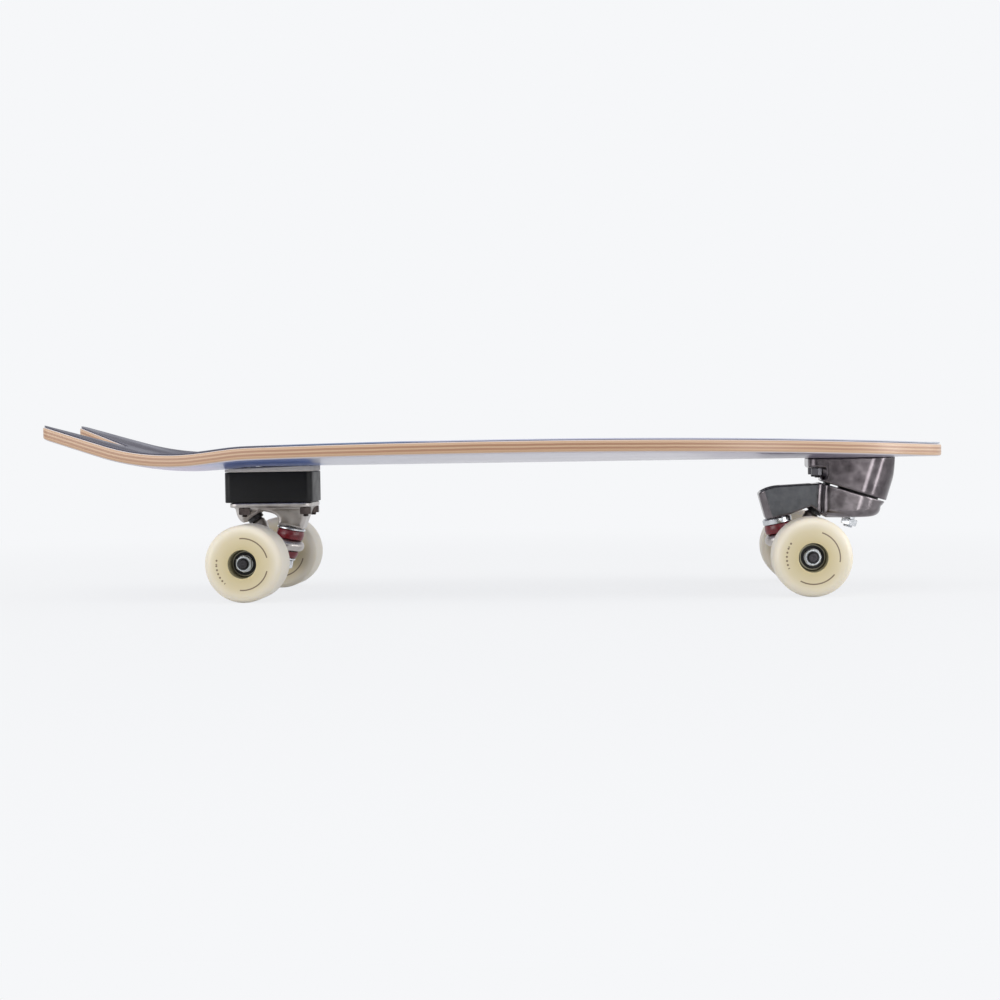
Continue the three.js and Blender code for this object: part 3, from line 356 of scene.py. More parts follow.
def fill_face(rim, holes, spacing):
    """Triangles that fill a rim, less its holes, with inner points on a grid."""
    low, high = rim.min(axis=0), rim.max(axis=0)
    columns = np.arange(low[0] + spacing / 2, high[0], spacing)
    rows = np.arange(-math.ceil(high[1] / spacing) * spacing, high[1] + spacing, spacing)
    grid = np.stack(np.meshgrid(columns, rows, indexing="ij"), axis=-1).reshape(-1, 2)
    keep = inside(rim, grid)
    for loop in [rim, *holes]:
        nearest = np.sqrt(((grid[:, None] - loop[None]) ** 2).sum(axis=2)).min(axis=1)
        keep &= nearest > spacing * rim_clearance
    for hole in holes:
        keep &= ~inside(hole, grid)
    points = [*rim, *(point for hole in holes for point in hole), *grid[keep]]
    edges = []
    first = 0
    for loop in [rim, *holes]:
        count = len(loop)
        edges += [(first + i, first + (i + 1) % count) for i in range(count)]
        first += count
    plan, _, faces, *_ = delaunay_2d_cdt([Vector(p) for p in points], edges, [], 0, merge_distance)
    plan = np.array([[p.x, p.y] for p in plan])
    faces = np.array(faces)
    middles = plan[faces].mean(axis=1)
    wanted = inside(rim, middles)
    for hole in holes:
        wanted &= ~inside(hole, middles)
    ab = plan[faces[:, 1]] - plan[faces[:, 0]]
    ac = plan[faces[:, 2]] - plan[faces[:, 0]]
    turned = ab[:, 0] * ac[:, 1] - ab[:, 1] * ac[:, 0] < 0
    faces[turned] = faces[turned][:, ::-1]
    assert len(plan) == len(points), "the fill moved or merged a point"
    return plan, faces[wanted]


def map_edge(mesh, edge, shares):
    """The UV map of a sheet's edge: metres along the outline, and the share of the thickness."""
    count = len(edge)
    steps = np.linalg.norm(np.roll(edge, -1, axis=0) - edge, axis=1)
    lengths = np.concatenate([[0], np.cumsum(steps)]) * MM
    layer = mesh.uv_layers.new(name="edge")
    for polygon in mesh.polygons[:(len(shares) - 1) * count]:
        column = polygon.index % count
        for corner in polygon.loop_indices:
            ring, i = divmod(mesh.loops[corner].vertex_index, count)
            layer.data[corner].uv = (lengths[column if i == column else column + 1], shares[ring][i])


def pressed_sheet(
    name, outline, bottom_at, top_at, edge_round, materials, holes=(), spacing=8,
    edge_steps=4, wall_steps=2,
):
    """A sheet between two heights. Materials are those of its edge, underside and top.

    A hole is a place, a radius at the top and at the bottom, and the depth of its sink.
    """
    turns = np.linspace(0, math.pi / 2, edge_steps + 1)
    lower = [(edge_round * (1 - math.sin(a)), 0.0, edge_round * (1 - math.cos(a))) for a in turns]
    wall_shares = np.linspace(0, 1, wall_steps + 2)[1:-1]
    walls = [(0.0, share, edge_round * (1 - 2 * share)) for share in wall_shares]
    upper = [(inset, 1.0, -lift) for inset, _, lift in reversed(lower)]
    points, shares = [], []
    for inset, share, lift in lower + walls + upper:
        ring = outline(inset)
        low, high = bottom_at(ring[:, 0], ring[:, 1]), top_at(ring[:, 0], ring[:, 1])
        z = low + (high - low) * share + lift
        points.append(np.column_stack([ring, z]))
        shares.append((z - low) / (high - low))
    count = len(points[0])
    rings = len(points)

    circle = arc((0, 0), 1, 0, 2 * math.pi, hole_sides)[:-1]
    loops = [np.array(centre) + circle * max(top, bottom) for centre, top, bottom, _ in holes]
    plan, triangles = fill_face(outline(edge_round), loops, spacing)
    extra = len(plan) - count
    low_plan, high_plan = plan[count:].copy(), plan[count:].copy()
    for n, (centre, top, bottom, _) in enumerate(holes):
        span = slice(n * len(circle), (n + 1) * len(circle))
        low_plan[span] = np.array(centre) + circle * bottom
        high_plan[span] = np.array(centre) + circle * top
    for surface, flat_points in ((bottom_at, low_plan), (top_at, high_plan)):
        points.append(np.column_stack([flat_points, surface(flat_points[:, 0], flat_points[:, 1])]))
    low_base, high_base = rings * count, rings * count + extra

    def low_index(i):
        return int(i) if i < count else low_base + int(i) - count

    def high_index(i):
        return (rings - 1) * count + int(i) if i < count else high_base + int(i) - count

    faces, slots = [], []

    def wall(loop, next_loop):
        for i in range(len(loop)):
            j = (i + 1) % len(loop)
            faces.append((loop[i], loop[j], next_loop[j], next_loop[i]))
            slots.append(0)

    for ring in range(0, (rings - 1) * count, count):
        wall(range(ring, ring + count), range(ring + count, ring + 2 * count))
    for a, b, c in triangles:
        faces += [(high_index(a), high_index(b), high_index(c)), (low_index(c), low_index(b), low_index(a))]
        slots += [2, 1]
    neck_base = high_base + extra
    for n, (centre, top, bottom, sink) in enumerate(holes):
        size = len(circle)
        head = [high_index(count + n * size + i) for i in range(size)]
        foot = [low_index(count + n * size + i) for i in range(size)]
        levels = [head, foot]
        if sink:
            neck_z = top_at(np.array([centre[0]]), np.array([centre[1]]))[0] - sink
            points.append(np.column_stack([np.array(centre) + circle * bottom, np.full(size, neck_z)]))
            levels = [head, list(range(neck_base, neck_base + size)), foot]
            neck_base += size
        for loop, next_loop in zip(levels, levels[1:]):
            wall(loop, next_loop)

    piece = new_piece(name, np.concatenate(points), faces, materials, sharp_angle=50)
    piece.data.polygons.foreach_set("material_index", slots)
    map_edge(piece.data, outline(0), shares)
    return piece


# %% [markdown]
# ## The deck
#
# The real deck is seven maple veneers, glued and pressed over a mould that gives it a shallow
# concave and a kicktail, then cut out and rounded along the edge. The same rules are used here.

# %% Deck form
_, deck_high = cad_box_of("deck")
half_length = deck_high.x
half_width = deck_high.y
deck_thickness = 10.5
deck_underside = 113
flat_half_width = 30
concave_rise = 8.5
wide_point = 30
tail_tip_half_span = 58
tail_tip_radius = 9
rail_flare = math.radians(15)
rail_start_handle = 120
rail_wide_handle = 210
nose_wide_handle = 200
nose_end_handle = 70
nose_flat_half_width = 12
notch_depth = 58
notch_radius = 11
tail_dip = 3.5  # the underside drops this much ahead of the kick
tail_dip_start = -200
tail_dip_end = -256
kick_radius = 242
kick_angle = math.radians(17.75)
concave_fade_middle = -294
concave_fade = 114
concave_kick_share = 0.6  # of the concave that stays in the kick
concave_power = 1.8  # over 1, the concave grows towards the rails
print("deck:", round(2 * half_length), "by", round(2 * half_width), "mm")


def underside_at(x):
    """The height of the underside on the middle line."""
    dip = np.clip((tail_dip_start - x) / (tail_dip_start - tail_dip_end), 0, 1)
    run = np.maximum(0, tail_dip_end - x)
    bend = np.minimum(run, kick_radius * math.sin(kick_angle))
    rise = kick_radius - np.sqrt(kick_radius ** 2 - bend ** 2) + (run - bend) * math.tan(kick_angle)
    return deck_underside - tail_dip * dip * dip * (3 - 2 * dip) + rise


def concave_at(x, y):
    """How far the concave lifts the deck away from the middle line."""
    share = np.maximum(0, np.abs(y) - flat_half_width) / (half_width - flat_half_width)
    fade = np.clip((concave_fade_middle + concave_fade / 2 - x) / concave_fade, 0, 1)
    faded = fade * fade * (3 - 2 * fade)
    return concave_rise * (1 - (1 - concave_kick_share) * faded) * share ** concave_power


def bottom_at(x, y):
    return underside_at(x) + concave_at(x, y)


def top_at(x, y):
    run = np.clip((tail_dip_end - x) / kick_radius, 0, math.sin(kick_angle))
    return bottom_at(x, y) + deck_thickness / np.sqrt(1 - run ** 2)


def deck_outline(inset, rail_steps=90, arc_steps=10):
    """The plan outline, drawn in by an inset, from the notch round the nose and back."""
    tip = np.array([tail_tip_radius - half_length, tail_tip_half_span])
    crotch = np.array([notch_depth - notch_radius - half_length, 0])
    tip_reach, crotch_reach = tail_tip_radius - inset, notch_radius + inset
    line = tip - crotch
    apart = math.hypot(*line)
    edge = math.atan2(line[1], line[0]) - math.acos((tip_reach + crotch_reach) / apart)
    rail_start = math.pi / 2 + rail_flare
    start = tip + tip_reach * np.array([math.cos(rail_start), math.sin(rail_start)])
    pull = start + rail_start_handle * np.array([math.cos(rail_flare), math.sin(rail_flare)])
    wide = (wide_point, half_width - inset)
    nose = half_length - inset
    rail = [start, pull, (wide_point - rail_wide_handle, wide[1]), wide]
    shoulder = [
        wide, (wide_point + nose_wide_handle, wide[1]),
        (nose, nose_flat_half_width + nose_end_handle), (nose, nose_flat_half_width),
    ]
    left = np.concatenate([
        arc(crotch, crotch_reach, 0, edge, arc_steps)[1:],
        arc(tip, tip_reach, edge + math.pi, math.pi, arc_steps),
        arc(tip, tip_reach, math.pi, rail_start, arc_steps)[1:],
        bezier(rail, rail_steps),
        bezier(shoulder, rail_steps),
    ])
    right_side = left[::-1] * (1, -1)
    crotch_point = [[crotch[0] + crotch_reach, 0]]
    return np.concatenate([crotch_point, left, right_side])[::-1]


# %% [markdown]
# ## Turned parts
#
# Wheels, bearings, bushings and washers are turned or moulded round an axis, so each is a
# profile swept round a circle. A real edge is never knife sharp: it has a small round that
# catches a line of light, so one helper rounds every corner of a profile first.

# %% Lathe
corner_share = 0.48  # of a side: what one corner's round may take, so that two never meet
sharpest = 0.05  # half of the sharpest corner's angle, in radians
on_axis = 1e-6  # a ring as small as this is one point on the axis


def rounded(profile, radius, steps=4, closed=True):
    """A profile with its corners rounded. A corner's third number is its own radius."""
    count = len(profile)
    points = []
    for i, (x, y, *own) in enumerate(profile):
        here = np.array((x, y), float)
        reach = own[0] if own else radius
        if reach == 0 or (not closed and i in (0, count - 1)):
            points.append(here)
            continue
        before = np.array(profile[i - 1][:2], float) - here
        after = np.array(profile[(i + 1) % count][:2], float) - here
        before_length, after_length = np.linalg.norm(before), np.linalg.norm(after)
        before, after = before / before_length, after / after_length
        half_angle = math.acos(np.clip(before @ after, -1, 1)) / 2
        longest = corner_share * min(before_length, after_length)
        pull = min(reach / math.tan(max(half_angle, sharpest)), longest)
        for t in np.linspace(0, 1, steps + 1):
            points.append(here + before * pull * (1 - t) ** 2 + after * pull * t ** 2)
    return points


def swept(name, rings, materials, place=Matrix(), closed=True, shade=35, pick=None):
    """Faces between rings of points about local Z. A ring holds a radius and a height per point.

    Each point's place in the plane is kept as the UV map, in metres. Pick gives the material
    of a face from its middle radius and height.
    """
    sides = len(rings[0])
    angles = 2 * math.pi * np.arange(sides) / sides
    points, rows = [], []
    for ring in rings:
        radii, heights = np.array(ring, float).T
        if radii.max() < on_axis:
            rows.append([len(points)] * sides)
            points.append((0, 0, heights[0]))
            continue
        rows.append(range(len(points), len(points) + sides))
        points += zip(radii * np.cos(angles), radii * np.sin(angles), heights)
    faces = []
    pairs = list(zip(rows, rows[1:])) + ([(rows[-1], rows[0])] if closed else [])
    for low, high in pairs:
        for i in range(sides):
            j = (i + 1) % sides
            faces.append(tuple(dict.fromkeys((low[i], low[j], high[j], high[i]))))
    piece = new_piece(name, points, faces, materials, place, shade)
    layer = piece.data.uv_layers.new(name="face")
    for polygon in piece.data.polygons:
        corners = np.array([points[piece.data.loops[loop].vertex_index] for loop in polygon.loop_indices])
        for loop, corner in zip(polygon.loop_indices, corners):
            layer.data[loop].uv = (corner[0] * MM, corner[1] * MM)
        if pick:
            radius = np.hypot(corners[:, 0], corners[:, 1]).mean()
            polygon.material_index = pick(radius, corners[:, 2].mean())
    return piece


def tube(inner, outer, bottom, top, edge):
    """The profile of a plain ring, such as a washer, a spacer or a bush."""
    return rounded([(inner, bottom), (outer, bottom), (outer, top), (inner, top)], edge)


def turned(name, profile, materials, place=Matrix(), sides=96, **settings):
    """A revolve of a profile that runs upwards along the outside."""
    return swept(name, [[point] * sides for point in profile], materials, place, **settings)


# %% [markdown]
# ## Hexagons
#
# A nut is a hexagon bar with both faces turned on a cone, which leaves the curved chamfer
# lines that everyone knows. Along each angle the flats give the radius, and the cone gives
# the height, so a short formula makes the true curve without a boolean.

# %% Nuts
nut_sides = 96
nut_angles = 2 * math.pi * np.arange(nut_sides) / nut_sides
turned_corner = 0.567  # a nut's corner over its flats, where a sharp hexagon has 0.577
nut_cone = math.radians(30)


def hexagon(flats):
    """The radius of a hexagon along each angle, with its corners a little turned down."""
    turn = (nut_angles + math.pi / 6) % (math.pi / 3) - math.pi / 6
    return np.minimum(flats / 2 / np.cos(turn), flats * turned_corner)


def ring_of(radius, height):
    """One ring from a radius and a height, either of which may vary with the angle."""
    return np.stack(np.broadcast_arrays(radius, height, nut_angles), axis=1)[:, :2]


def hex_nut(name, flats, height, bore, materials, place=Matrix(), base=0, collar=0, pick=None):
    """A nut on local Z from a base height. A collar is the height of a lock nut's round end."""
    edge = 0.35
    neck = flats * 0.43
    shoulder = flats * 0.485
    body = base + height - collar
    outside = hexagon(flats)
    cone = np.maximum(0, outside - shoulder) * math.tan(nut_cone)
    rings = [
        ring_of(bore, base + edge),
        ring_of(bore + edge, base),
        ring_of(shoulder, base),
        ring_of(outside, base + cone),
        ring_of(outside, body - cone),
        ring_of(shoulder, body),
    ]
    if collar:
        top = base + height
        profile = rounded([
            (neck, body, edge), (neck, top, 3 * edge),
            (bore + 3 * edge, top), (bore + 2 * edge, top - edge),
        ], edge, closed=False)
        rings += [ring_of(*point) for point in profile] + [ring_of(bore, top - edge)]
    else:
        rings += [ring_of(bore + edge, body), ring_of(bore, body - edge)]
    return swept(name, rings, materials, place, shade=30, pick=pick)


# %% [markdown]
# ## Castings
#
# A casting has no sharp corner outside and a generous fillet in every inner corner, because
# metal has to flow and the part has to leave its mould.
# So each casting is a field here: a number for every point of a fine grid, below zero inside.
# Simple solids are joined with a smooth minimum, which makes the fillets, and cut with a
# smooth maximum, which rounds the edges. The surface where the field is zero becomes the mesh.

# %% Fields
import openvdb

crisp = 0.2  # the round on the ends of a cutting rod


def melt(a, b, fillet):
    """Joins two fields with a fillet."""
    overlap = np.maximum(fillet - np.abs(a - b), 0) / fillet
    return np.minimum(a, b) - overlap * overlap * fillet / 4


def trim(a, b, edge):
    """The common part of two fields, with its edge rounded."""
    return -melt(-a, -b, edge)


def carve(a, b, edge):
    """The first field less the second, with the cut's edge rounded."""
    return trim(a, -b, edge)


class Space:
    """A grid of points in millimetres round a casting."""

    def __init__(self, low, high, voxel):
        self.low, self.voxel = np.array(low, float), voxel
        axes = [np.arange(a, b + voxel, voxel) for a, b in zip(low, high)]
        self.points = np.stack(np.meshgrid(*axes, indexing="ij"), axis=-1).astype(np.float32)

    def along(self, place, axis):
        """The distance from a line, and the height along it."""
        away = self.points - np.array(place, np.float32)
        height = away @ np.array(axis, np.float32)
        return np.sqrt(np.maximum((away ** 2).sum(axis=-1) - height ** 2, 0)), height

    def rod(self, place, axis, radius, bottom, top, edge=1.0):
        distance, height = self.along(place, axis)
        return trim(distance - radius, np.maximum(bottom - height, height - top), edge)

    def taper(self, start, end, start_radius, end_radius):
        """A bar with round ends whose radius runs evenly from one end to the other."""
        start, end = np.array(start, np.float32), np.array(end, np.float32)
        line = end - start
        away = self.points - start
        share = np.clip(away @ line / (line @ line), 0, 1)
        gap = np.sqrt(((away - share[..., None] * line) ** 2).sum(axis=-1))
        return gap - (start_radius + (end_radius - start_radius) * share)

    def ball(self, place, radius):
        return np.sqrt(((self.points - np.array(place, np.float32)) ** 2).sum(axis=-1)) - radius

    def coordinates(self):
        return self.points[..., 0], self.points[..., 1], self.points[..., 2]

    def bored(self, field, place, axis, *bores):
        """A field less bores on one axis. A bore is a radius, a bottom, a top and its edge."""
        for radius, bottom, top, edge in bores:
            field = carve(field, self.rod(place, axis, radius, bottom, top, crisp), edge)
        return field

    def profile(self, outline):
        """The distance from a closed outline in the plane of u and w."""
        u, _, w = self.coordinates()
        return outline_distance(outline, u, w)

    def mesh(self, field):
        """The surface where the field is zero, as points and faces in millimetres."""
        far = 3 * self.voxel  # what the grid holds away from the surface
        grid = openvdb.FloatGrid(far)
        grid.copyFromArray(np.ascontiguousarray(field, dtype=np.float32))
        points, quads = grid.convertToQuads()
        return points * self.voxel + self.low, quads


def cast_piece(name, shape, finishes, place):
    """A casting's piece, shaded smooth all over, because its mesh holds its round edges."""
    points, faces = shape
    return new_piece(name, points, faces, finishes, place, sharp_angle=180)


shortest_side = 1e-9  # an outline's side under this, squared, is no side


def outline_distance(outline, u, w):
    """The signed distance of points from a closed outline, below zero inside."""
    nearest = np.full(u.shape, np.inf, np.float32)
    crossings = np.zeros(u.shape, bool)
    for (au, aw), (bu, bw) in zip(outline, [*outline[1:], outline[0]]):
        du, dw = bu - au, bw - aw
        length = du * du + dw * dw
        if length < shortest_side:
            continue
        share = np.clip(((u - au) * du + (w - aw) * dw) / length, 0, 1)
        nearest = np.minimum(nearest, (u - au - share * du) ** 2 + (w - aw - share * dw) ** 2)
        if aw != bw:
            crossings ^= ((aw > w) != (bw > w)) & (u < au + (w - aw) * du / dw)
    distance = np.sqrt(nearest)
    return np.where(crossings, -distance, distance)


# %% [markdown]
# ## Finishes
#
# Each real finish gets one material. The trucks are cast and then tumbled or polished, which
# shows as fine dents and a soft shine that varies over the part.

# %% Shared steps
usual = (0.3, 0.7)  # a noise stays between these nearly everywhere


def object_place(tree, stretch=(1, 1, 1)):
    """Object coordinates, stretched for a pattern that is longer one way."""
    where = add(tree, "ShaderNodeTexCoord")
    moved = add(tree, "ShaderNodeMapping", {"Vector": where.outputs["Object"], "Scale": stretch})
    return moved.outputs[0]


def noise(tree, place, size, detail=2.0, roughness=0.5):
    """A noise whose blobs are this many millimetres across."""
    return add(tree, "ShaderNodeTexNoise", {
        "Vector": place, "Scale": per_mm(size), "Detail": detail, "Roughness": roughness,
    }).outputs[0]


def ramp(tree, value, stops, interpolation="LINEAR"):
    """Colours along a value. Stops are pairs of a position and a hex colour."""
    node = add(tree, "ShaderNodeValToRGB", {0: value})
    node.color_ramp.interpolation = interpolation
    elements = node.color_ramp.elements
    while len(elements) < len(stops):
        elements.new(0.5)
    for element, (position, code) in zip(elements, stops):
        element.position = position
        element.color = srgb(code)
    return node.outputs[0]


def between(tree, value, low, high, start=0.0, end=1.0):
    """Maps a value from one range to another, held at the ends."""
    return add(tree, "ShaderNodeMapRange", {
        "Value": value, "From Min": start, "From Max": end, "To Min": low, "To Max": high,
    }).outputs[0]


def calculate(tree, operation, a, b=0.0, c=0.0):
    return add(tree, "ShaderNodeMath", {0: a, 1: b, 2: c}, operation=operation).outputs[0]


def blend_colour(tree, share, a, b):
    node = add(tree, "ShaderNodeMix", {0: share}, data_type="RGBA")
    for key, value in (("A_Color", a), ("B_Color", b)):
        feed(tree, next(s for s in node.inputs if s.identifier == key), value)
    return next(s for s in node.outputs if s.identifier == "Result_Color")


def bump(tree, shader, heights, depth):
    """Relief of a real depth in millimetres from a height between nought and one."""
    node = add(tree, "ShaderNodeBump", {"Height": heights, "Strength": 1.0, "Distance": depth * MM})
    tree.links.new(node.outputs[0], shader.inputs["Normal"])


def dress(tree, shader, colour, roughness):
    """Links the colour and the roughness of a finish."""
    tree.links.new(colour, shader.inputs["Base Color"])
    tree.links.new(roughness, shader.inputs["Roughness"])


# %% Metals
drift_share = 0.6  # how much of the change in a metal's shine is slow; the rest is its grain


def cast_metal(name, low, high, roughness, grain=0.5, depth=0.008, mottle=9, scatter=0.12, **values):
    """A cast and finished metal: colour and shine drift over the part, over a fine grain."""
    material, tree, shader = finish_named(name, Metallic=1.0, **values)
    place = object_place(tree)
    drift = noise(tree, place, mottle, detail=4)
    fine = noise(tree, place, grain, detail=3, roughness=0.65)
    grained = calculate(tree, "MULTIPLY", fine, 1 - drift_share)
    shine = calculate(tree, "MULTIPLY_ADD", drift, drift_share, grained)
    shine = between(tree, shine, roughness - scatter, roughness + scatter, *usual)
    dress(tree, shader, ramp(tree, drift, list(zip(usual, (low, high)))), shine)
    bump(tree, shader, fine, depth)
    return material


# Tumbled in a drum of stones: a warm satin grey with a fine hammered grain.
tumbled_aluminium = cast_metal("tumbled cast aluminium", "#a9a4a1", "#c4bfbb", 0.36, grain=0.8, depth=0.03)
# Polished and then plated dark: it mirrors its surroundings with a warm grey tint.
polished_gunmetal = cast_metal(
    "polished gunmetal plate", "#534e51", "#6f696c", 0.19, grain=1.6, depth=0.003, mottle=8, scatter=0.05,
)
# The arm is brushed instead of polished, which makes it a little lighter.
brushed_gunmetal = cast_metal(
    "brushed gunmetal plate", "#625d5f", "#7f797c", 0.21, grain=1.2, depth=0.005, mottle=8, scatter=0.06,
)
# The arm's flanks and the top of its beam keep the mould's rough skin under the same plating.
rough_gunmetal = cast_metal(
    "as-cast gunmetal plate", "#595a5d", "#6c6e71", 0.5, grain=0.8, depth=0.1, mottle=5,
)
# Bright zinc plate over cut steel.
zinc_steel = cast_metal("bright zinc-plated steel", "#b9bcc0", "#d3d5d8", 0.24, depth=0.006, mottle=5)
# Bare ground steel of the axle's threaded end, greased and so darker.
oiled_steel = cast_metal("oiled axle steel", "#3a393b", "#504f53", 0.34, grain=0.4, depth=0.01)
# The same zinc left satin by a tumbling drum, on the nuts. Its colour is painted much lighter than the zinc
# above, so that the flat faces look lit: painted light.
satin_zinc_painted_lit = cast_metal(
    "satin zinc-plated steel", "#dfe4e9", "#f0f4f7", 0.5, depth=0.006, mottle=5, scatter=0.06,
)
# Black oxide on the mounting bolts, worn a little brown.
black_oxide = cast_metal("black-oxide steel", "#322c2b", "#4a4341", 0.36)
# Ground and oiled bearing rings, tinted olive: a painted reflection of the shaded cream urethane round
# them.
ring_steel_with_painted_reflection = cast_metal("ground bearing steel", "#858170", "#9a9684", 0.4, depth=0.004)
# Sprung from oiled hard wire.
spring_wire = cast_metal("oiled spring wire", "#5c5a5a", "#77757a", 0.3)


# %% Rubbers and plastics
def moulded(name, low, high, roughness, grain=0.6, depth=0.01, mottle=12, scatter=0.06, **values):
    """A moulded polymer: even colour, a slow drift in shine, and the mould's fine grain."""
    material, tree, shader = finish_named(name, **values)
    place = object_place(tree)
    drift = noise(tree, place, mottle, detail=3)
    fine = noise(tree, place, grain, detail=3, roughness=0.6)
    shine = between(tree, drift, roughness - scatter, roughness + scatter, *usual)
    dress(tree, shader, ramp(tree, drift, list(zip(usual, (low, high)))), shine)
    bump(tree, shader, fine, depth)
    return material


# Satin black nylon, nearly black, with a weak sheen where light grazes it.
black_nylon = moulded(
    "satin black nylon", "#0a0a0b", "#0f0f11", 0.42, grain=0.5, depth=0.02, Specular_IOR_Level=0.28,
)
# The pad under the deck is soft grey rubber.
grey_rubber = moulded("soft grey rubber", "#c4bfb8", "#d0cbc4", 0.78, grain=0.7, depth=0.05)
# Pivot cups, thrust ring and travel bumper: a hard, slippery plastic with a dull shine.
black_acetal = moulded("black acetal", "#131315", "#1d1d20", 0.38)
# Bushings are cast urethane: deep red, with light that sinks in a little.
bushing_urethane = moulded(
    "dark red bushing urethane", "#690a18", "#7d1022", 0.32, grain=0.8, depth=0.008,
    Subsurface_Weight=0.15, Subsurface_Scale=2 * MM, Coat_Weight=0.12, Coat_Roughness=0.2,
)
# A bearing's shield is thin black rubber.
bearing_shield = moulded("black bearing shield", "#0d0d0e", "#161617", 0.5, grain=0.5)
# The nylon collar of a lock nut, dull and dark.
lock_nylon = moulded("dark nylon", "#2c2f33", "#3a3d41", 0.5)
# The recess in which the bearings sit is a darker olive than the cream urethane: painted shade of the deep
# recess.
recess_shade_urethane = moulded("olive hub urethane", "#8a8366", "#979072", 0.5, grain=0.8)
# The faces where the two drums meet are painted near black: painted shade in the narrow joint, so it
# swallows the light.
painted_joint_shade = moulded(
    "dark joint grease", "#12110f", "#1b1917", 0.85, grain=0.8, Specular_IOR_Level=0.02,
)
print("finishes:", len(bpy.data.materials))


# %% [markdown]
# ## Maple, dye and grip
#
# The deck's edge shows seven plies. The pattern follows the edge's own UV map, whose second
# number is the share of the thickness, so the plies run parallel all round and up the kick.
# The underside carries a soft dyed wash with a few brush-like bands, and the top is resin
# with coloured grit: dark slate on the tail, a blue band where the kick starts, then pale.

# %% Maple edge
ply_count = 7
dark_plies = (2, 4)  # counted from the bottom
dark_ply = "#a98065"
pale_plies = ("#c9a98b", "#c3a081", "#ccab8d")
ply_wander, wander_length = 0.12, 45  # in plies up and down, and in millimetres along the edge
glue_near, glue_far, glue_strength = 0.02, 0.09, 0.55  # the first two in plies from the line
fibre_stretch, fibre_width = 0.06, 1.1
creep_start, creep_end = 0.42, 0.435  # shares of the thickness, from its middle

maple_edge, tree, shader = finish_named(
    "lacquered maple ply edge", Roughness=0.4, Coat_Weight=0.35, Coat_Roughness=0.25,
)
edge_map = add(tree, "ShaderNodeUVMap", uv_map="edge")
parts = add(tree, "ShaderNodeSeparateXYZ", {0: edge_map.outputs[0]})
wander = add(tree, "ShaderNodeCombineXYZ", {0: parts.outputs[0]})
waver = noise(tree, wander.outputs[0], wander_length, detail=2)
moved = between(tree, waver, -ply_wander, ply_wander, *usual)
ply_place = calculate(tree, "MULTIPLY_ADD", parts.outputs[1], ply_count, moved)
share = calculate(tree, "DIVIDE", ply_place, ply_count)
tones = []
for ply in range(ply_count):
    code = dark_ply if ply in dark_plies else pale_plies[ply % len(pale_plies)]
    tones.append(((ply + 0.001) / ply_count, code))
ply_colour = ramp(tree, share, tones, "CONSTANT")
# A glue line lies between two plies, wherever the place in the ply is close to a whole number.
to_line = calculate(tree, "PINGPONG", ply_place, 0.5)
glue = between(tree, to_line, 1, 0, glue_near, glue_far)
glued = blend_colour(tree, calculate(tree, "MULTIPLY", glue, glue_strength), ply_colour, srgb("#855b41"))
# The edge is cut across fibres that run along the deck: fine streaks along the rails.
stretched = add(tree, "ShaderNodeMapping", {"Vector": edge_map.outputs[0], "Scale": (1, fibre_stretch, 1)})
streaks = noise(tree, stretched.outputs[0], fibre_width, detail=4, roughness=0.7)
grained = blend_colour(tree, between(tree, streaks, 0, 0.28, 0.45, 0.75), glued, srgb("#9a7355"))
# The dye creeps a hair over the two corners.
to_middle = calculate(tree, "ABSOLUTE", calculate(tree, "SUBTRACT", parts.outputs[1], 0.5))
creep = between(tree, to_middle, 0, 1, creep_start, creep_end)
final = blend_colour(tree, creep, grained, srgb("#cbc6cc"))
dress(tree, shader, final, between(tree, streaks, 0.34, 0.5, *usual))
bump(tree, shader, calculate(tree, "MULTIPLY_ADD", glue, -0.6, streaks), depth=0.03)
print("maple edge:", ply_count, "plies")

# %% Dyed underside
wash_stops = [  # places along the deck in millimetres, from tail to nose
    (-385, "#aaa8ba"), (-300, "#a596c4"), (-250, "#a48fc8"), (-230, "#6078bc"), (-158, "#6a86cc"),
    (-144, "#bec1d4"), (0, "#cdcbd8"), (150, "#d4d0dc"), (205, "#968ca5"), (262, "#786e87"),
    (385, "#beb9cd"),
]


def along_deck(tree, place, wave, wave_depth=14):
    """The share of the deck's length, with a soft wander so that bands get a natural edge."""
    parts = add(tree, "ShaderNodeSeparateXYZ", {0: place})
    waves = noise(tree, place, wave, detail=3)
    drift = between(tree, waves, -wave_depth * MM, wave_depth * MM, *usual)
    moved = calculate(tree, "ADD", parts.outputs[0], drift)
    return between(tree, moved, 0, 1, -half_length * MM, half_length * MM)


def deck_stops(stops):
    return [((x + half_length) / (2 * half_length), code) for x, code in stops]


underside, tree, shader = finish_named(
    "dyed and lacquered maple face", Roughness=0.35, Coat_Weight=0.4, Coat_Roughness=0.15,
)
place = object_place(tree)
wash = ramp(tree, along_deck(tree, place, wave=60), deck_stops(wash_stops), "EASE")
fibres = noise(tree, object_place(tree, stretch=(0.05, 1, 1)), size=1.4, detail=4, roughness=0.65)
brushed = noise(tree, object_place(tree, stretch=(0.12, 1, 1)), size=16, detail=3)
tinted = blend_colour(tree, between(tree, brushed, 0, 0.22, 0.4, 0.65), wash, srgb("#e4e1ea"))
grained = blend_colour(tree, between(tree, fibres, 0, 0.3, 0.45, 0.75), tinted, srgb("#7d7688"))
dress(tree, shader, grained, between(tree, brushed, 0.28, 0.42, *usual))
bump(tree, shader, fibres, depth=0.03)
print("underside:", len(wash_stops), "colours from tail to nose")

# %% Grit
grip_stops = [
    (-385, "#4f4d57"), (-330, "#54525e"), (-196, "#5a5a68"), (-172, "#6f7c9b"), (-120, "#7d8fb0"),
    (-66, "#8799bd"), (-48, "#c9cde2"), (120, "#d0d3e6"), (300, "#c6cad9"), (385, "#b7bfc9"),
]
grit_size = 0.9  # drawn coarser than the real grit, which is too fine to show
grip_wave, grip_wave_depth = 70, 12


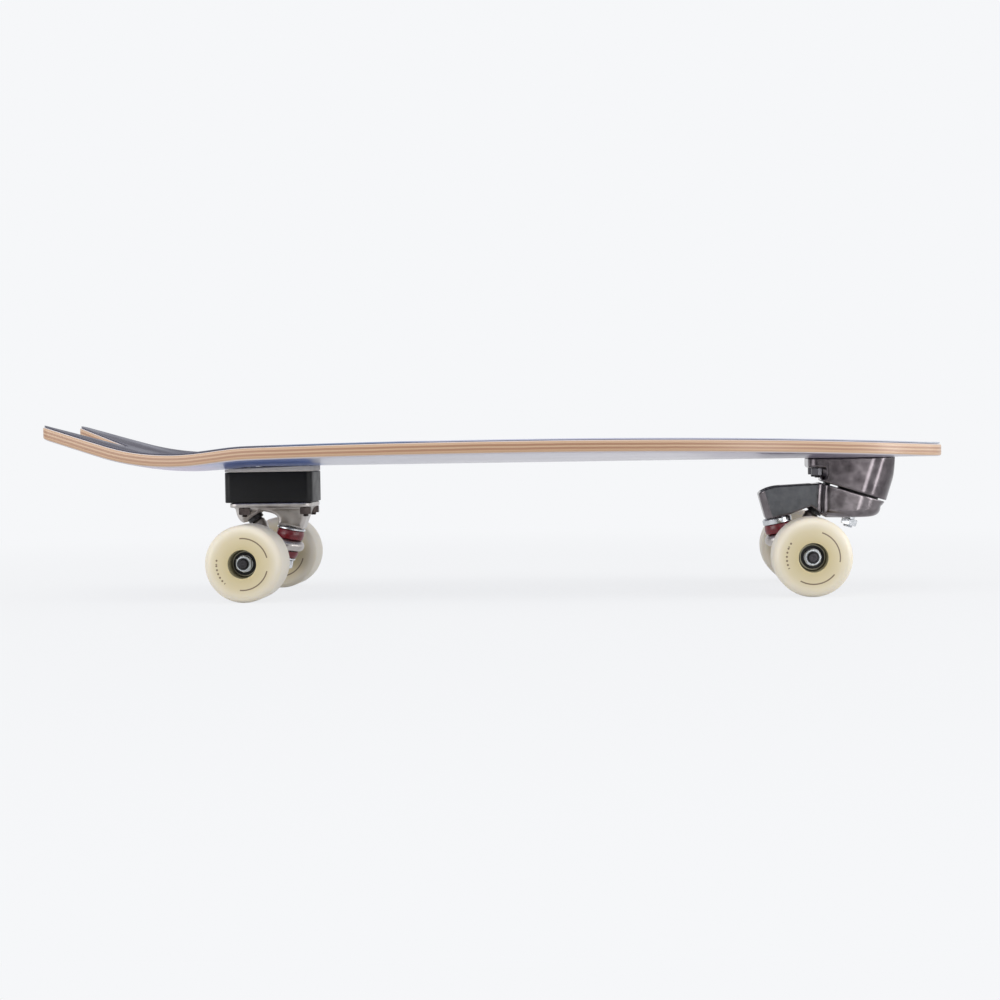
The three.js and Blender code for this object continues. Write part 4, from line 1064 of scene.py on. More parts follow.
def grip_band(tree, place):
    """The grip's colours along the deck, the same on its face and on its cut edge."""
    return ramp(tree, along_deck(tree, place, grip_wave, grip_wave_depth), deck_stops(grip_stops))


grip_grit, tree, shader = finish_named("coloured silicon carbide grit", Roughness=0.88)
place = object_place(tree)
band = grip_band(tree, place)
clouds = noise(tree, object_place(tree, stretch=(0.5, 1, 1)), size=55, detail=3)
washed = blend_colour(tree, between(tree, clouds, 0, 0.35, 0.42, 0.7), band, srgb("#dfe2ee"))
grains = add(tree, "ShaderNodeTexVoronoi", {"Vector": place, "Scale": per_mm(grit_size)})
sparkle = between(tree, grains.outputs["Distance"], 1, 0, 0.0, 0.65)
speckled = blend_colour(tree, between(tree, sparkle, 0.24, 0, 0.2, 0.8), washed, srgb("#2c2c33"))
dress(tree, shader, speckled, between(tree, sparkle, 0.95, 0.7, 0.2, 0.9))
bump(tree, shader, sparkle, depth=0.12)

grip_edge, tree, shader = finish_named("cut edge of the grip's resin", Roughness=0.6)
place = object_place(tree)
edge_colour = blend_colour(tree, 0.2, grip_band(tree, place), srgb("#8e92a6"))
dress(tree, shader, edge_colour, between(tree, noise(tree, place, size=2), 0.5, 0.75, *usual))
bump(tree, shader, noise(tree, place, size=0.7, detail=3), depth=0.05)
print("grip:", len(grip_stops), "colours from tail to nose")


# %% [markdown]
# ## Bolt holes
#
# Eight bolts hold the trucks. Their places come from the frame, so the holes in the deck, the
# grip, the pad and the riser line up with them.

# %% Bolt places
bolt_names = [
    f"{truck}_mounting_bolt_{end}_{rail}"
    for truck in ("rear", "front") for end in ("tail", "nose") for rail in ("left", "right")
]
bolt_hole_radius = 2.7
bolt_sink_radius = 5.0
bolt_sink_depth = 2.8
print("bolts:", len(bolt_names))


def bolt_place(name):
    low, high = cad_box_of(name)
    return ((low.x + high.x) / 2, (low.y + high.y) / 2)


def bolt_holes(truck, top_radius, bottom_radius, depth=0):
    """The bolt holes of one truck, or of both where its name is left empty."""
    return [
        (bolt_place(name), top_radius, bottom_radius, depth)
        for name in bolt_names if name.startswith(truck)
    ]


# %% Deck and grip
deck_round = 2.2
grip_gap = 0.3
grip_thickness = 1
grip_inset = 1.2
grip_round = 0.35


def above_deck(height):
    return lambda x, y: top_at(x, y) + height


def grip_outline(inset):
    return deck_outline(inset + grip_inset)


deck_piece = pressed_sheet(
    "deck_wood", deck_outline, bottom_at, top_at, deck_round, [maple_edge, underside, underside],
    bolt_holes("", bolt_sink_radius, bolt_hole_radius, bolt_sink_depth), edge_steps=6,
)
settle(deck_piece, "board", "maple", "deck")

grip_piece = pressed_sheet(
    "grip_sheet", grip_outline, above_deck(grip_gap), above_deck(grip_gap + grip_thickness), grip_round,
    [grip_edge, grip_edge, grip_grit], bolt_holes("", bolt_sink_radius, bolt_sink_radius),
    edge_steps=2, wall_steps=0,
)
settle(grip_piece, "board", "grip", "grip_tape")

# %% Riser and pad
riser_corner = 6
riser_round = 0.8
pad_round = 0.3
block_spacing = 6

riser_low, riser_high = cad_box_of("rear_riser")
riser_outline = rounded_rectangle(riser_low.x, riser_high.x, riser_high.y, riser_corner)
pad_low, _ = cad_box_of("rear_shock_pad")


def flat(height):
    return lambda x, y: np.full(np.shape(x), float(height))


def under_deck(x, y):
    return underside_at(x) - grip_gap


riser_piece = pressed_sheet(
    "riser_block", riser_outline, flat(riser_low.z), flat(riser_high.z), riser_round,
    [black_nylon] * 3, bolt_holes("rear", bolt_hole_radius, bolt_hole_radius), block_spacing,
)
settle(riser_piece, "board", "black_plastic", "rear_riser")

pad_piece = pressed_sheet(
    "shock_pad", riser_outline, flat(pad_low.z), under_deck, pad_round,
    [grey_rubber] * 3, bolt_holes("rear", bolt_hole_radius, bolt_hole_radius), block_spacing,
    edge_steps=2, wall_steps=1,
)
settle(pad_piece, "board", "grey_rubber", "rear_shock_pad")


# %% [markdown]
# ## The frames of the two trucks
#
# Both trucks are built in a frame with its origin on the axle, u pointing along the board
# from the axle to the kingpin, and w pointing up. The front truck is turned end for end, so
# both kingpins lie towards the middle of the board.

# %% Truck frames
rear_spin = joint_place_of("rear_left_wheel_spin")
front_spin = joint_place_of("front_left_wheel_spin")
axle_height = rear_spin.z
wheel_middle = rear_spin.y
frames = {
    "rear": Matrix.Translation((rear_spin.x, 0, axle_height)),
    "front": Matrix.Translation((front_spin.x, 0, axle_height)) @ Matrix.Rotation(math.pi, 4, "Z"),
}
arm_bodies = {"rear": "board", "front": "front_arm"}

kingpin_tilt = math.radians(11.5)
pivot_tilt = math.radians(33)
swing_tilt = math.radians(17.5)
kingpin_axis = Vector((math.sin(kingpin_tilt), 0, math.cos(kingpin_tilt)))
kingpin_across = Vector((math.cos(kingpin_tilt), 0, -math.sin(kingpin_tilt)))
pivot_axis = Vector((-math.sin(pivot_tilt), 0, math.cos(pivot_tilt)))
pivot_across = Vector((math.cos(pivot_tilt), 0, math.sin(pivot_tilt)))
swing_axis = Vector((-math.sin(swing_tilt), 0, math.cos(swing_tilt)))
swing_across = Vector((math.cos(swing_tilt), 0, math.sin(swing_tilt)))
ring_centre = Vector((19.3, 0, 10.8))
pivot_ball = Vector((-13, 0, 39.8))
swing_centre = Vector((-47.5, 0, 50))

fit = 0.3  # the running gap between two pieces that seat on each other
base_top = deck_underside - fit - axle_height

# The swing joint's own sizes, along its pin from the face where the drums meet.
spring_cavity = 11
spring_cavity_depth = 17
pin_radius = 6
pin_head_radius = 9.2
pin_head_height = 5.5
pin_head_depth = 21
pin_thread_radius = 4
slide_ring_radius = 18
bush_radius = 9
bush_length = 16
nut_seat = 23.6
swing_nut_height = 5.5
nut_pocket_radius = 10
print("wheelbase:", round(front_spin.x - rear_spin.x), "mm")


def kingpin_point(height, reach=0):
    return ring_centre + kingpin_axis * height + kingpin_across * reach


def pivot_point(depth, reach=0):
    return pivot_ball - pivot_axis * depth + pivot_across * reach


def swing_point(reach, height=0):
    return swing_centre + swing_across * reach + swing_axis * height


# %% [markdown]
# ## Wheels
#
# A longboard wheel is one casting of polyurethane round a core, with soft round lips that
# slide well. It is cream and lets a little light in. Its face carries two plain thin arcs and
# an arc of dots.

# %% Urethane
wheel_radius = 32.5
wheel_half = 25.5
lip_radius = 7
bearing_radius = 11
spacer_length = 10.6
bearing_width = 7
wheel_core = spacer_length / 2 + bearing_width
recess_mouth = 12
face_crown = 1  # how far the face falls from the hub to the lip
lip_start, lip_end = 24, 32  # the radii between which the face turns into the tread
print_radius = 21.6  # of the arcs and the dots on a wheel's face
arc_width = 1.05
arc_inner, arc_outer = 0.4 * arc_width, 0.6 * arc_width  # its edge is soft between these
arc_end_blur = 0.01  # in radians
arcs = ((math.radians(14), math.radians(95)), (math.radians(-96), math.radians(-15)))
dot_radius = 0.85
dot_blur = 0.12
dot_pitch = math.radians(9)
dots = (math.radians(165), math.radians(243))
angle_low, angle_high = math.radians(-105), math.radians(270)
print_strength = 0.85

wheel_urethane, tree, shader = finish_named(
    "cast polyurethane", Roughness=0.34, Subsurface_Weight=0.25, Subsurface_Scale=4 * MM,
    Coat_Weight=0.1, Coat_Roughness=0.3,
)
shader.inputs["Subsurface Radius"].default_value = (1.0, 0.8, 0.5)
place = object_place(tree)
face_map = add(tree, "ShaderNodeUVMap", uv_map="face")
radius = add(tree, "ShaderNodeVectorMath", {0: face_map.outputs[0]}, operation="LENGTH").outputs["Value"]
# The thick middle of the wheel looks yellower than its thin lips, which let more light through.
drift = noise(tree, place, size=18, detail=3)
outwards = between(tree, radius, 0, 0.9, recess_mouth * MM, wheel_radius * MM)
thickness = calculate(tree, "MULTIPLY_ADD", drift, 0.1, outwards)
cream = ramp(tree, thickness, [(0.05, "#c9bb91"), (0.5, "#d6caaa"), (0.8, "#e3dbc9")])
parts = add(tree, "ShaderNodeSeparateXYZ", {0: face_map.outputs[0]})
turn = calculate(tree, "ARCTAN2", parts.outputs[1], parts.outputs[0])
# The angle that places the dots. Its range is 15 degrees over a full turn, which doubles one dot.
full_turn = calculate(tree, "WRAP", turn, angle_high, angle_low)
from_ring = calculate(tree, "SUBTRACT", radius, print_radius * MM)
off_ring = calculate(tree, "ABSOLUTE", from_ring)
on_ring = between(tree, off_ring, 1, 0, arc_inner * MM, arc_outer * MM)
printed = 0.0
for start, end in arcs:
    middle, half_arc = (start + end) / 2, (end - start) / 2
    off_middle = calculate(tree, "ABSOLUTE", calculate(tree, "SUBTRACT", turn, middle))
    on_arc = between(tree, off_middle, 1, 0, half_arc - arc_end_blur, half_arc)
    printed = calculate(tree, "MULTIPLY_ADD", on_ring, on_arc, printed)
# A dot shows where the way along the ring to the nearest dot and the way to the ring are short.
to_nearest = calculate(tree, "PINGPONG", full_turn, dot_pitch / 2)
along_ring = calculate(tree, "MULTIPLY", to_nearest, print_radius * MM)
off_ring_squared = calculate(tree, "MULTIPLY", from_ring, from_ring)
to_dot = calculate(tree, "SQRT", calculate(tree, "MULTIPLY_ADD", along_ring, along_ring, off_ring_squared))
on_dot = between(tree, to_dot, 1, 0, (dot_radius - dot_blur) * MM, (dot_radius + dot_blur) * MM)
off_dots = calculate(tree, "ABSOLUTE", calculate(tree, "SUBTRACT", full_turn, (dots[0] + dots[1]) / 2))
in_row = calculate(tree, "LESS_THAN", off_dots, (dots[1] - dots[0]) / 2)
printed = calculate(tree, "ADD", printed, calculate(tree, "MULTIPLY", on_dot, in_row))
ink = calculate(tree, "MULTIPLY", printed, print_strength)
face_colour = blend_colour(tree, ink, cream, srgb("#5a4030"))
lip_share = between(tree, radius, 0, 1, lip_start * MM, lip_end * MM)
wear = calculate(tree, "MULTIPLY_ADD", drift, 0.2, lip_share)
dress(tree, shader, face_colour, between(tree, wear, 0.3, 0.46, 0.1, 1.1))
bump(tree, shader, noise(tree, place, size=0.9, detail=3), depth=0.012)
print("wheel print:", len(arcs), "arcs and a row of dots")

# %% Wheel and bearing profiles
seat = bearing_radius + fit
core_step = 2
inner_end = spacer_length / 2
lip_middle, lip_height = wheel_radius - lip_radius, wheel_half - face_crown - lip_radius
quarter = math.pi / 2
quarter_steps = 11


def lip(height, start):
    """A quarter round of a wheel's lip, whose points need no rounding of their own."""
    points = arc((lip_middle, height), lip_radius, start, start + quarter, quarter_steps)
    return [(*point, 0) for point in points]


wheel_profile = rounded([
    (seat - core_step, -inner_end, 0.2), (seat, -inner_end, 0), (seat, -wheel_core, 0.6),
    (recess_mouth, -wheel_half, 0.8), *lip(-lip_height, -quarter), *lip(lip_height, 0),
    (recess_mouth, wheel_half, 0.8), (seat, wheel_core, 0.6), (seat, inner_end, 0),
    (seat - core_step, inner_end, 0.2),
], 0.3)

race_in, race_out = 6.2, 9.6
shield_in, shield_out = 6.8, 9.2
race_depth, shield_depth = 0.5, 0.35
axle_radius = 4
bore = axle_radius + fit
bearing_half = bearing_width / 2
bearing_profile = rounded([
    (bore, -bearing_half, 0.3), (bearing_radius, -bearing_half, 0.5), (bearing_radius, bearing_half, 0.5),
    (race_out, bearing_half, 0.15), (race_out, bearing_half - race_depth, 0),
    (shield_out, bearing_half - shield_depth, 0.1), (shield_in, bearing_half - shield_depth, 0.1),
    (race_in, bearing_half - race_depth, 0), (race_in, bearing_half, 0.15), (bore, bearing_half, 0.3),
], 0.2)
print("profiles:", len(wheel_profile), "and", len(bearing_profile), "points")

# %% Axle, washer and spacer profiles
washer_radius = 7.2
washer_thickness = 0.8
nut_flats = 12.7
nut_height = 6.6
nut_collar = 1.9
nylon_radius, nylon_depth = 4.75, 0.9
washer_profile = tube(bore, washer_radius, 0, washer_thickness, edge=0.2)
spacer_wall = 1.3
spacer_end = inner_end - fit
spacer_profile = tube(bore, bore + spacer_wall, -spacer_end, spacer_end, edge=0.15)
axle_past_nut = 1.2
axle_half = wheel_middle + wheel_core + fit + washer_thickness + nut_height + axle_past_nut
axle_dimple = 1.1  # the centre that the lathe drilled in each end
axle_bevel, axle_bevel_length = 0.5, 0.7
axle_tip = [
    (0, -axle_half + axle_dimple), (axle_dimple, -axle_half, 0.1),
    (axle_radius - axle_bevel, -axle_half, 0.2), (axle_radius, -axle_half + axle_bevel_length, 0.1),
]
far_tip = [(r, -z, 0.1) for r, z, *_ in reversed(axle_tip[1:])]
axle_profile = rounded([*axle_tip, *far_tip, (0, axle_half - axle_dimple)], 0.1, closed=False)
print("axle:", round(2 * axle_half, 1), "mm long")


# %% Wheels on their axles
def in_shaded_recess(radius, height):
    """Picks the painted recess shade behind the mouth of the recess."""
    return int(radius < recess_mouth and abs(height) > inner_end)


def in_shield(radius, height):
    """Picks the shield between a bearing's rings."""
    return int(race_in + 0.1 < radius < race_out - 0.02 and height > bearing_half - 0.6)


def in_collar(radius, height):
    """Picks the nylon inside a lock nut's collar."""
    return int(radius < nylon_radius and height > nut_height - nylon_depth)


def joined(name, pieces):
    """One object from several, with their materials kept."""
    target = pieces[0]
    with bpy.context.temp_override(
        active_object=target, object=target, selected_objects=pieces, selected_editable_objects=pieces,
    ):
        bpy.ops.object.join()
    target.name = name
    return target


def wheel_and_bearings(side, place, print_turn):
    """What turns together: a wheel and its two bearings."""
    # The tyre's faces behind the recess mouth take the painted recess shade.
    wheel = turned(
        f"{side}_tyre", wheel_profile, [wheel_urethane, recess_shade_urethane],
        place @ Matrix.Rotation(print_turn, 4, "Z"), sides=128, pick=in_shaded_recess,
    )
    settle(wheel, f"{side}_wheel", "urethane", f"{side}_wheel")
    for position, facing in (("outer", 1), ("inner", -1)):
        shift = Matrix.Translation((0, 0, facing * (inner_end + bearing_half)))
        flip = Matrix.Rotation(0 if facing > 0 else math.pi, 4, "X")
        # The bearing rings carry the painted olive reflection of the recess.
        bearing = turned(
            f"{side}_{position}_ball_bearing", bearing_profile, [ring_steel_with_painted_reflection, bearing_shield],
            place @ shift @ flip, sides=72, pick=in_shield,
        )
        settle(bearing, f"{side}_wheel", "bearing_steel", f"{side}_{position}_bearing")


def spacer_and_nut(side, truck, place):
    """What stays with the axle: the spacer between the bearings, the washer and the nut."""
    spacer = turned(f"{side}_spacer_tube", spacer_profile, [zinc_steel], place, sides=48)
    settle(spacer, f"{truck}_hanger", "steel", f"{side}_bearing_spacer")
    outside = place @ Matrix.Translation((0, 0, wheel_core + fit))
    washer = turned(f"{side}_speed_washer", washer_profile, [zinc_steel], outside, sides=64)
    # The nut's zinc is painted lighter than the washer's, as painted light.
    nut = hex_nut(
        f"{side}_lock_nut", nut_flats, nut_height, bore, [satin_zinc_painted_lit, lock_nylon], outside,
        washer_thickness, nut_collar, in_collar,
    )
    nut = joined(f"{side}_lock_nut", [nut, washer])
    settle(nut, f"{truck}_hanger", "steel", f"{side}_axle_nut")


wheel_turns = {"rear": 0, "front": math.radians(-24)}
for truck, truck_frame in frames.items():
    for rail, outboard in (("left", 1), ("right", -1)):
        middle = (truck_frame.translation.x, outboard * wheel_middle, axle_height)
        place = Matrix.Translation(middle) @ Matrix.Rotation(-outboard * math.pi / 2, 4, "X")
        wheel_and_bearings(f"{truck}_{rail}", place, wheel_turns[truck])
        spacer_and_nut(f"{truck}_{rail}", truck, place)
    along_axle = truck_frame @ at((0, 0, 0), (0, 1, 0))
    axle = turned(f"{truck}_axle_rod", axle_profile, [oiled_steel], along_axle, sides=64)
    settle(axle, f"{truck}_hanger", "steel", f"{truck}_axle")


# %% [markdown]
# ## The kingpin stack
#
# From the base down: a thick cup washer, the upper bushing, the hanger's ring, the lower
# bushing, a small cup washer and the nut. The bushings are what the truck leans against,
# so they bulge a little under the nut's pull.

# %% Kingpin stack
kingpin_radius = 4.75
pin_bore = kingpin_radius + fit
ring_half = 5
upper_height = 8.1
upper_radius = 12.2
lower_height = 6
lower_washer = 1.5
washer_thicknesses = {"rear": 2, "front": 5.5}
ball_radius = 4.8
cup_wall = 2
cup_skirt = 8
kingpin_seat_depth = 13.4
kingpin_nut_height = 7
kingpin_head_radius = 7.6
kingpin_tip = 2
upper_stack = ring_half + upper_height + 3 * fit
lower_stack = ring_half + lower_height + lower_washer + 3 * fit
kingpin_drop = lower_stack + kingpin_nut_height + kingpin_tip

upper_start, lower_start = ring_half + fit, -ring_half - fit
upper_end, lower_end = upper_start + upper_height, lower_start - lower_height
bushing_taper, bushing_bulge = 0.7, 0.05  # how far the upper bushing's ends draw in, and its middle swells
lower_radii = (8, 9.6, 10)  # of the lower bushing, from its bottom to its top
upper_profile = rounded([
    (pin_bore, upper_start, 0.5), (upper_radius - bushing_taper, upper_start, 1.1),
    (upper_radius + bushing_bulge, upper_start + upper_height / 2, 6),
    (upper_radius - bushing_taper, upper_end, 1.1), (pin_bore, upper_end, 0.5),
], 1, steps=8)
lower_profile = rounded([
    (pin_bore, lower_end, 0.5), (lower_radii[0], lower_end, 1.0),
    (lower_radii[1], lower_start - lower_height / 2, 5), (lower_radii[2], lower_start, 0.9),
    (pin_bore, lower_start, 0.5),
], 1, steps=8)
print("bushings:", upper_height, "and", lower_height, "mm high")

# %% Washers and threads
upper_washer_radius, lower_washer_radius = 12.6, 8.4
rim_share, widest_rim = 0.4, 1.4  # a washer's rim, as a share of its thickness and at most
crest_start, crest_end = 0.4, 0.55  # a thread's flat crest, in shares of its pitch
thread_round = 0.05


def cup_washer(radius, thickness):
    """A dished washer: flat towards the metal, with a rolled rim."""
    rim = min(rim_share * thickness, widest_rim)
    return rounded([
        (pin_bore, 0, 0.2), (radius - rim, 0, rim / 2), (radius, rim, rim / 2),
        (radius, thickness, 0.45), (pin_bore, thickness, 0.2),
    ], 0.3, steps=6)


def threaded(radius, bottom, top, pitch=1.25, depth=0.4):
    """The outline of a thread, drawn as rings: the lead of a real helix is too fine to see."""
    points = []
    for turn in range(int((top - bottom) / pitch)):
        low = bottom + turn * pitch
        points += [
            (radius - depth, low, thread_round), (radius, low + pitch * crest_start, thread_round),
            (radius, low + pitch * crest_end, thread_round),
        ]
    return points


# %% Stacks on their trucks
kingpin_nut_flats = 13
kingpin_head_flats = 13.2
kingpin_head_edge, kingpin_head_height, kingpin_head_face = 5.2, 6, 6.2
thread_start, thread_end, shank_start = 0.5, 9, 10  # from the kingpin's tip
kingpin_bevel = 1
cup_inner = ball_radius + fit
cup_outer = cup_inner + cup_wall
cup_flare, cup_bevel = (0.8, 0.4), 0.3


def bushings(truck, body, stack):
    for place_name, profile, node in (("top", upper_profile, "upper"), ("small", lower_profile, "lower")):
        bushing = turned(f"{truck}_{place_name}_bushing", profile, [bushing_urethane], stack)
        settle(bushing, body, "bushing", f"{truck}_{node}_bushing")


def cup_washers(truck, body, stack, seat_height):
    turned_over = Matrix.Rotation(math.pi, 4, "X")
    above_place = stack @ Matrix.Translation((0, 0, seat_height - fit)) @ turned_over
    profile = cup_washer(upper_washer_radius, washer_thicknesses[truck])
    washer = turned(f"{truck}_dished_washer", profile, [zinc_steel], above_place)
    settle(washer, body, "steel", f"{truck}_upper_cup_washer")
    below_place = stack @ Matrix.Translation((0, 0, fit - lower_stack))
    profile = cup_washer(lower_washer_radius, lower_washer)
    washer = turned(f"{truck}_small_washer", profile, [zinc_steel], below_place)
    settle(washer, body, "steel", f"{truck}_lower_cup_washer")


def kingpin(truck, body, stack, seat_height):
    """The kingpin with its hexagon head in the casting, and its nut below."""
    nut = hex_nut(
        f"{truck}_pin_nut", kingpin_nut_flats, kingpin_nut_height, pin_bore, [zinc_steel], stack,
        kingpin_tip - kingpin_drop,
    )
    settle(nut, body, "steel", f"{truck}_kingpin_nut")
    head = seat_height + kingpin_seat_depth + fit
    tip = -kingpin_drop
    shank = rounded([
        (0, tip), (kingpin_radius - kingpin_bevel, tip, 0.2),
        *threaded(kingpin_radius, tip + thread_start, tip + thread_end),
        (kingpin_radius, tip + shank_start, 0.1), (kingpin_radius, head, 0),
    ], 0.1, closed=False, steps=2)
    head_outside = np.minimum(hexagon(kingpin_head_flats), kingpin_head_radius)
    rings = [ring_of(*point) for point in shank]
    rings += [ring_of(head_outside, head), ring_of(head_outside, head + kingpin_head_edge)]
    rings += [ring_of(radius, head + kingpin_head_height) for radius in (kingpin_head_face, 0)]
    pin = swept(f"{truck}_kingpin_bolt", rings, [zinc_steel], stack, closed=False, shade=30)
    settle(pin, body, "steel", f"{truck}_kingpin")


def pivot_cup(truck, body, place):
    """The cup that holds the ball of the hanger, with a short skirt below."""
    profile = [
        *arc((0, 0), cup_inner, quarter, 0, quarter_steps),
        (cup_inner + cup_flare[0], cup_flare[1] - cup_skirt), (cup_inner + 1, -cup_skirt),
        (cup_outer - cup_bevel, -cup_skirt), (cup_outer, cup_bevel - cup_skirt),
        *arc((0, 0), cup_outer, 0, quarter, quarter_steps),
    ]
    cup = turned(f"{truck}_pivot_socket", profile, [black_acetal], place, sides=64, closed=False)
    settle(cup, body, "black_rubber", f"{truck}_pivot_cup")


for truck, truck_frame in frames.items():
    body = arm_bodies[truck]
    stack = truck_frame @ at(ring_centre, kingpin_axis)
    seat_height = upper_stack + washer_thicknesses[truck]
    bushings(truck, body, stack)
    cup_washers(truck, body, stack, seat_height)
    kingpin(truck, body, stack, seat_height)
    pivot_cup(truck, body, truck_frame @ at(pivot_ball, pivot_axis))


# %% [markdown]
# ## The hangers
#
# The hanger is the T of the truck: a beam round the axle, a ring that the bushings hold, and
# a post that ends in a ball. Both trucks have the same one, so it is cast once and used twice.

# %% Hanger
hanger_half = 76.5
casting_voxel = 0.6
beam_places = [16, 24, 63.5, hanger_half]  # from the middle to an end of the beam
beam_radii = [10.5, 10.3, 7.5, 7.5]  # the beam's radius at each of them
ring_radius, ring_round = 14, 6
ring_bore, ring_recess = 6.6, 11.2
post_foot = Vector((-1, 0, 4))
post_foot_radius, post_neck_radius, post_neck_depth = 9.2, 6.4, 9.5
stem_length = 16


def wedge(space, start, end, start_size, end_size, edge):
    """A web between two places on the middle plane. Sizes are half widths in y and across."""
    start, end = Vector(start), Vector(end)
    line = (end - start).normalized()
    length = (end - start).length
    normal = (-line.z, 0, line.x)
    away = space.points - np.array(start, np.float32)
    reach = away @ np.array(line, np.float32)
    share = np.clip(reach, 0, length) / length
    width = start_size[0] + (end_size[0] - start_size[0]) * share
    thickness = start_size[1] + (end_size[1] - start_size[1]) * share
    flare = math.hypot(1, (start_size[0] - end_size[0]) / length)
    off_middle = np.abs(away @ np.array(normal, np.float32))
    sides = trim((np.abs(away[..., 1]) - width) / flare, off_middle - thickness, edge)
    return trim(sides, np.maximum(-reach, reach - length), edge)


def hanger_field(space):
    across = np.abs(space.points[..., 1])
    distance = np.hypot(space.points[..., 0], space.points[..., 2])
    beam = distance - np.interp(across, beam_places, beam_radii).astype(np.float32)
    ring = space.rod(ring_centre, kingpin_axis, ring_radius, -ring_half, ring_half, ring_round)
    thick_web = wedge(space, (0, 0, 0), kingpin_point(-0.5), (19, 9.5), (11, 4.2), edge=5)
    wide_web = wedge(space, (0, 0, 0), kingpin_point(0.3, -4), (47, 7.2), (11, 2.8), edge=4)
    casting = melt(beam, thick_web, fillet=5)
    casting = melt(casting, wide_web, fillet=7)
    casting = melt(casting, ring, fillet=4)
    post_neck = pivot_point(post_neck_depth)
    post = space.taper(post_foot, post_neck, post_foot_radius, post_neck_radius)
    post_web = wedge(space, (0, 0, 2), pivot_point(14), (33, 6.8), (5.5, 4.6), edge=4)
    casting = melt(casting, melt(post, post_web, fillet=6), fillet=7)
    _, above_neck = space.along(post_neck, pivot_axis)
    casting = trim(casting, above_neck, edge=2)
    stem = space.rod(pivot_ball, pivot_axis, ball_radius, -stem_length, 0, crisp)
    casting = melt(casting, np.minimum(stem, space.ball(pivot_ball, ball_radius)), fillet=1.6)
    casting = trim(casting, across - hanger_half, edge=1.2)
    casting = space.bored(
        casting, ring_centre, kingpin_axis,
        (ring_bore, -20, 20, 1.2), (ring_recess, -kingpin_drop - 3, -ring_half, 1.2),
    )
    return carve(casting, distance - axle_radius - 0.25, edge=0.4)


space = Space((-24, -78, -13), (36, 78, 47), casting_voxel)
hanger_shape = space.mesh(hanger_field(space))
for truck, truck_frame in frames.items():
    hanger = cast_piece(f"{truck}_cast_hanger", hanger_shape, [tumbled_aluminium], truck_frame)
    settle(hanger, f"{truck}_hanger", "casting", f"{truck}_hanger")


# %% [markdown]
# ## The rear baseplate
#
# A flange with four bolt holes carries two lobes: a tall one for the kingpin and a slanted
# one for the pivot, with an open arch between them. Its side profile is drawn once and
# pushed through, and its flanks lean in a little so that it leaves the mould.

# %% Rear baseplate
pivot_mouth = 4.7
lobe_radius = 9.6
seat_reach = 11.4
arch_top = 37
arch_pull = 5
lobe_round = 2.4
lobe_setback = 3
lobe_half = 14.4
lobe_draft = 1.8
flange_back, flange_front = -28, 44.2
flange_half = 27.5
flange_corner = 7
flange_thickness = 4
flange_top = riser_low.z - fit - axle_height
flange_bottom = flange_top - flange_thickness
head_bore_length = 30  # long enough to open the seat of the kingpin's head at the top
past = 6  # how far a profile or a bore runs past a face


def flat_pair(point):
    return (point[0], point[2])


def curve(start, pull_start, pull_end, end, steps=16):
    return [tuple(start), *map(tuple, bezier([start, pull_start, pull_end, end], steps))]


def round_cornered(u, y, middle, half, reach, radius):
    """The distance from a rectangle with round corners."""
    du, dy = np.abs(u - middle) - (half - radius), np.abs(y) - (reach - radius)
    return np.hypot(np.maximum(du, 0), np.maximum(dy, 0)) + np.minimum(np.maximum(du, dy), 0) - radius


def seats(space, field, seat_height):
    """Cuts the seats of the pivot cup and of the kingpin's head and shank."""
    radius = ball_radius + 2 * fit + cup_wall
    cup = np.minimum(
        space.rod(pivot_ball, pivot_axis, radius, -pivot_mouth - past, 0, crisp),
        space.ball(pivot_ball, radius),
    )
    field = carve(field, cup, edge=1)
    floor = seat_height + kingpin_seat_depth
    return space.bored(
        field, ring_centre, kingpin_axis, (pin_bore, seat_height - past, floor + past, 1),
        (kingpin_head_radius + 2 * fit, floor, floor + head_bore_length, 0.8),
    )


def seat_line(truck):
    """The height of the kingpin's seat, and the two ends of its line in the side profile."""
    height = upper_stack + washer_thicknesses[truck]
    return height, *(flat_pair(kingpin_point(height, side * seat_reach)) for side in (-1, 1))


def bolt_bores(space, field, truck, middle_x, turn, bottom_of):
    """Bores for the mounting bolts of one truck, each down to its own depth."""
    for name in bolt_names:
        if name.startswith(truck):
            x, y = bolt_place(name)
            place = (turn * (x - middle_x), y, 0)
            hole = (bolt_hole_radius, bottom_of(name), base_top + past, 0.6)
            field = space.bored(field, place, (0, 0, 1), hole)
    return field


def baseplate_field(space):
    seat_height, seat_back, seat_front = seat_line("rear")
    mouth_low, mouth_high = (flat_pair(pivot_point(pivot_mouth, side * lobe_radius)) for side in (-1, 1))
    back, front = flange_back + lobe_setback, flange_front - lobe_setback
    arch = arch_top + lobe_round
    outline = [
        (back, flange_top - 1),
        *curve(
            (back, flange_bottom),
            flat_pair(pivot_point(-pivot_mouth, -lobe_radius - lobe_round)),
            flat_pair(pivot_point(pivot_mouth - lobe_round, -lobe_radius - lobe_round)),
            mouth_low,
        ),
        *curve(mouth_high, (mouth_high[0] + arch_pull, arch), (seat_back[0] + arch_pull, arch), seat_back),
        seat_front, (front, flange_bottom), (front, flange_top - 1),
    ]
    lobes = space.profile(outline)
    u, y, w = space.coordinates()
    flank = lobe_half - lobe_draft * np.clip((flange_top - w) / (flange_top - seat_back[1]), 0, 1)
    lobes = trim(lobes, np.abs(y) - flank, edge=4)
    middle, half = (flange_back + flange_front) / 2, (flange_front - flange_back) / 2
    plan = round_cornered(u, y, middle, half, flange_half, flange_corner)
    flange = trim(plan, np.maximum(flange_bottom - w, w - flange_top), edge=1.2)
    casting = seats(space, melt(lobes, flange, fillet=3.5), seat_height)
    return bolt_bores(space, casting, "rear", rear_spin.x, 1, lambda name: 0)


space = Space((-31, -30, 19), (47, 30, 51), casting_voxel)
plate_shape = space.mesh(baseplate_field(space))
baseplate = cast_piece("rear_cast_baseplate", plate_shape, [tumbled_aluminium], frames["rear"])
settle(baseplate, "board", "casting", "rear_baseplate")


